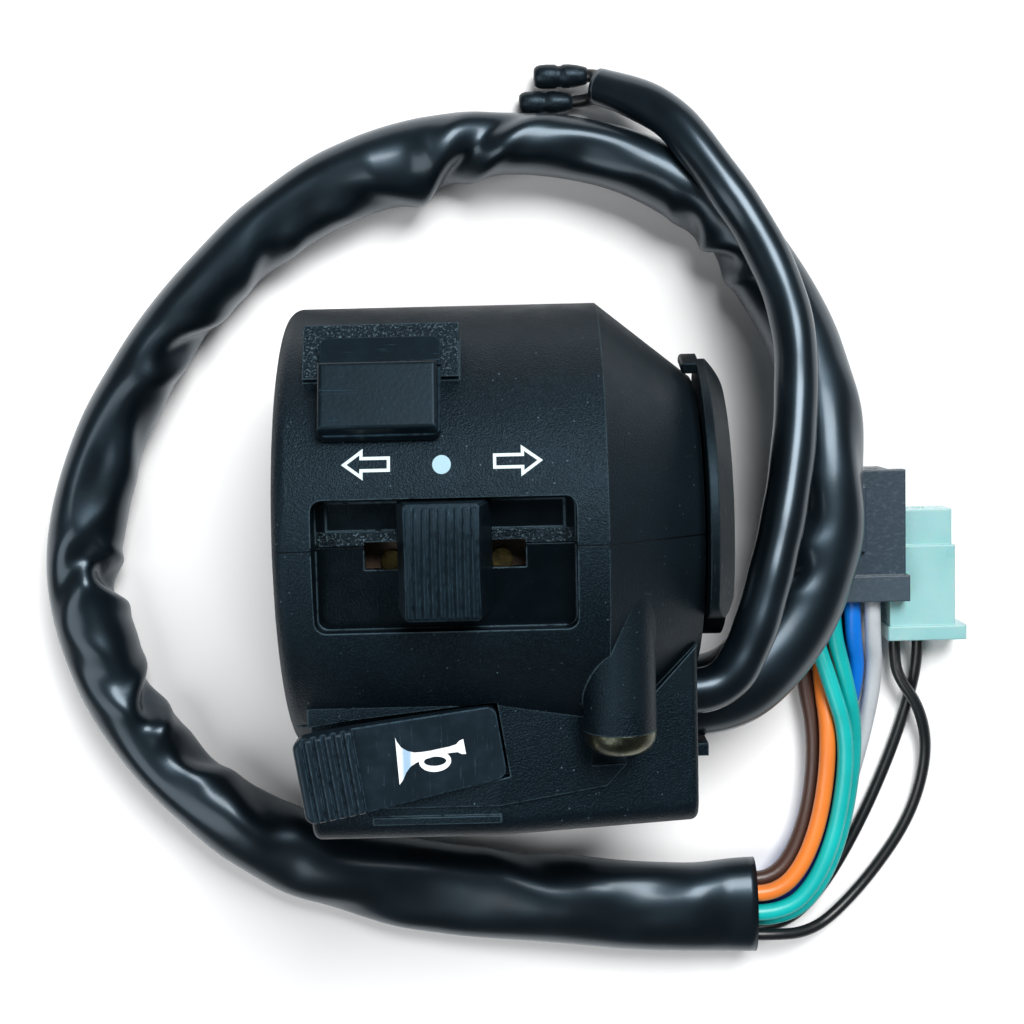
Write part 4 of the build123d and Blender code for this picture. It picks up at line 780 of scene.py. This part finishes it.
def ink(name, closed_bands, strokes, height_at, proud=0.04, sunk=0.03):
    """Printed bands, each between two rows of as many points, as closed sheets.

    Each band stands a hair higher than the one before, so that crossing bands don't flicker.
    """
    shape = bmesh.new()
    for bands, closed in ((closed_bands, True), (strokes, False)):
        for first, second in bands:
            proud += hair
            rows = []
            for row, lift in ((first, proud), (second, proud), (second, -sunk), (first, -sunk)):
                rows.append([shape.verts.new(mm(x, y, height_at(x, y) + lift)) for x, y in row])
            count = len(first)
            for low, high in zip(rows, rows[1:] + rows[:1]):
                for step in range(count if closed else count - 1):
                    following = (step + 1) % count
                    shape.faces.new((low[step], low[following], high[following], high[step]))
            if not closed:
                for end in (0, -1):
                    shape.faces.new([row[end] for row in rows])
    bmesh.ops.recalc_face_normals(shape, faces=shape.faces)
    mesh = bpy.data.meshes.new(name)
    shape.to_mesh(mesh)
    shape.free()
    mark = bpy.data.objects.new(name, mesh)
    bpy.context.scene.collection.objects.link(mark)
    return mark


body_radius = 28.0


def on_body(x, y):
    """Height of the round body's surface, in millimetres."""
    return math.sqrt(body_radius ** 2 - y ** 2)


def circle(centre, radius, squash=1.0, count=40):
    """Points round an ellipse."""
    return [(centre[0] + radius * math.cos(2 * math.pi * step / count),
             centre[1] + radius * squash * math.sin(2 * math.pi * step / count)) for step in range(count)]


def arrow(tip, tail, middle, half_head, half_shaft):
    """An arrow's outline, anticlockwise, with its tip and tail along the bar."""
    neck = tip + (tail - tip) * 0.44
    outline = [(tip, middle), (neck, middle - half_head), (neck, middle - half_shaft),
               (tail, middle - half_shaft), (tail, middle + half_shaft), (neck, middle + half_shaft),
               (neck, middle + half_head)]
    return outline if tail > tip else outline[::-1]


left_arrow = arrow(-16.84, -11.32, 9.6, 1.75, 0.85)
right_arrow = arrow(5.93, 0.3, 9.66, 1.75, 0.85)
turn_marks = ink("turn_signal_marks", [
    (left_arrow, inset(left_arrow, 0.36)), (right_arrow, inset(right_arrow, 0.36)),
    (circle((-5.51, 9.42), 1.05), circle((-5.51, 9.42), 0.02))], [], on_body)
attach(turn_marks, "housing")


def on_paddle(x, y):
    """Height of the horn paddle's face, in millimetres."""
    along = -0.98876 * (x + 1.2) - 0.14954 * (y + 23.9)
    return 20.9 + 2.5 / 16.8 * (along + 1.6)


def stroke(points, widths):
    """The two sides of a brush stroke through points, as wide as asked at each."""
    left, right = [], []
    for index, (point, width) in enumerate(zip(points, widths)):
        before = Vector(points[max(index - 1, 0)])
        after = Vector(points[min(index + 1, len(points) - 1)])
        along = (after - before).normalized()
        across = Vector((-along.y, along.x)) * (width / 2)
        left.append(Vector(point) + across)
        right.append(Vector(point) - across)
    return left, right


bell = stroke([(-11.75, -25.3), (-11.45, -25.28), (-11.0, -25.2), (-10.4, -25.1), (-9.7, -25.0),
               (-8.9, -24.85), (-7.9, -24.68)], [5.6, 4.6, 3.0, 1.9, 1.25, 0.95, 0.8])
pipe = stroke([(-8.1, -24.72), (-7.0, -24.5), (-5.6, -24.28), (-4.8, -24.15), (-4.4, -24.08),
               (-3.9, -24.0)], [0.8, 0.75, 0.75, 0.95, 1.6, 1.8])
loop_centre = (-7.38, -25.55)
horn_marks = ink("horn_sign", [(circle(loop_centre, 1.87, 0.67), circle(loop_centre, 1.3, 0.42))],
                 [bell, pipe], on_paddle)
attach(horn_marks, "horn")


def ink_finish(name, pale, deep, deep_from, deep_to):
    """Pale ink, deeper in tone between two places along the bar."""
    work = Finish(name)
    thin = work.noise(0.35, 4.0, 0.6).climb(0.28, 0.42)
    colour = work.blend(work.along("X").between(deep_from, deep_to, 0.5), pale, deep)
    colour = work.blend(thin * 0.6 + 0.4, (0.30, 0.36, 0.38), colour)
    return work.done(colour, 0.5 + thin * 0.1, work.bump(work.noise(0.3), 0.01))


dress(ink_finish("arrow_ink", (0.56, 0.68, 0.68), (0.30, 0.48, 0.56), -6.8, -4.2), turn_marks)
dress(ink_finish("horn_ink", (0.80, 0.84, 0.86), (0.30, 0.46, 0.62), -10.9, -10.4), horn_marks)
print("marks", turn_marks.name, horn_marks.name)

# %% [markdown]
# The photograph is a product shot on white. One broad light stands towards the top right of the
# picture, a weaker and wider one fills from the lower left, and a dim room does the rest, so
# that the black plastic keeps its depth. Area lights give soft shadows, and their shapes are
# what the sleeve and the knobs reflect.

# %% Floor and light
half_table = 1.2
paper_height = -0.02405
table = bpy.data.meshes.new("table")
table.from_pydata([(x * half_table, y * half_table, paper_height)
                   for x, y in ((-1, -1), (1, -1), (1, 1), (-1, 1))], [], [(0, 1, 2, 3)])
floor = bpy.data.objects.new("floor", table)
bpy.context.scene.collection.objects.link(floor)
paper = Finish("white_paper")
paper_tone = paper.blend(paper.noise(30.0, 3.0), (0.92, 0.92, 0.92), (0.94, 0.94, 0.94))
dress(paper.done(paper_tone, 0.7, paper.bump(paper.noise(0.6, 3.0), 0.01)), floor)


def lamp(name, place, size, watts):
    """A square area light that points at the housing."""
    light = bpy.data.lights.new(name, "AREA")
    light.size = size
    light.energy = watts
    thing = bpy.data.objects.new(name, light)
    thing.location = place
    thing.rotation_euler = (-Vector(place)).to_track_quat("-Z", "Y").to_euler()
    bpy.context.scene.collection.objects.link(thing)


lamp("key", (0.15, 0.31, 0.50), 0.28, 4.9)
lamp("fill", (-0.30, -0.16, 0.46), 0.40, 1.8)
world = bpy.data.worlds.new("dim_room")
world.use_nodes = True
world.node_tree.nodes["Background"].inputs["Color"].default_value = (0.86, 0.94, 1.0, 1.0)
world.node_tree.nodes["Background"].inputs["Strength"].default_value = 0.12
bpy.context.scene.world = world
bpy.context.scene.view_settings.view_transform = "Standard"

# %% Final update
bpy.context.view_layer.update()
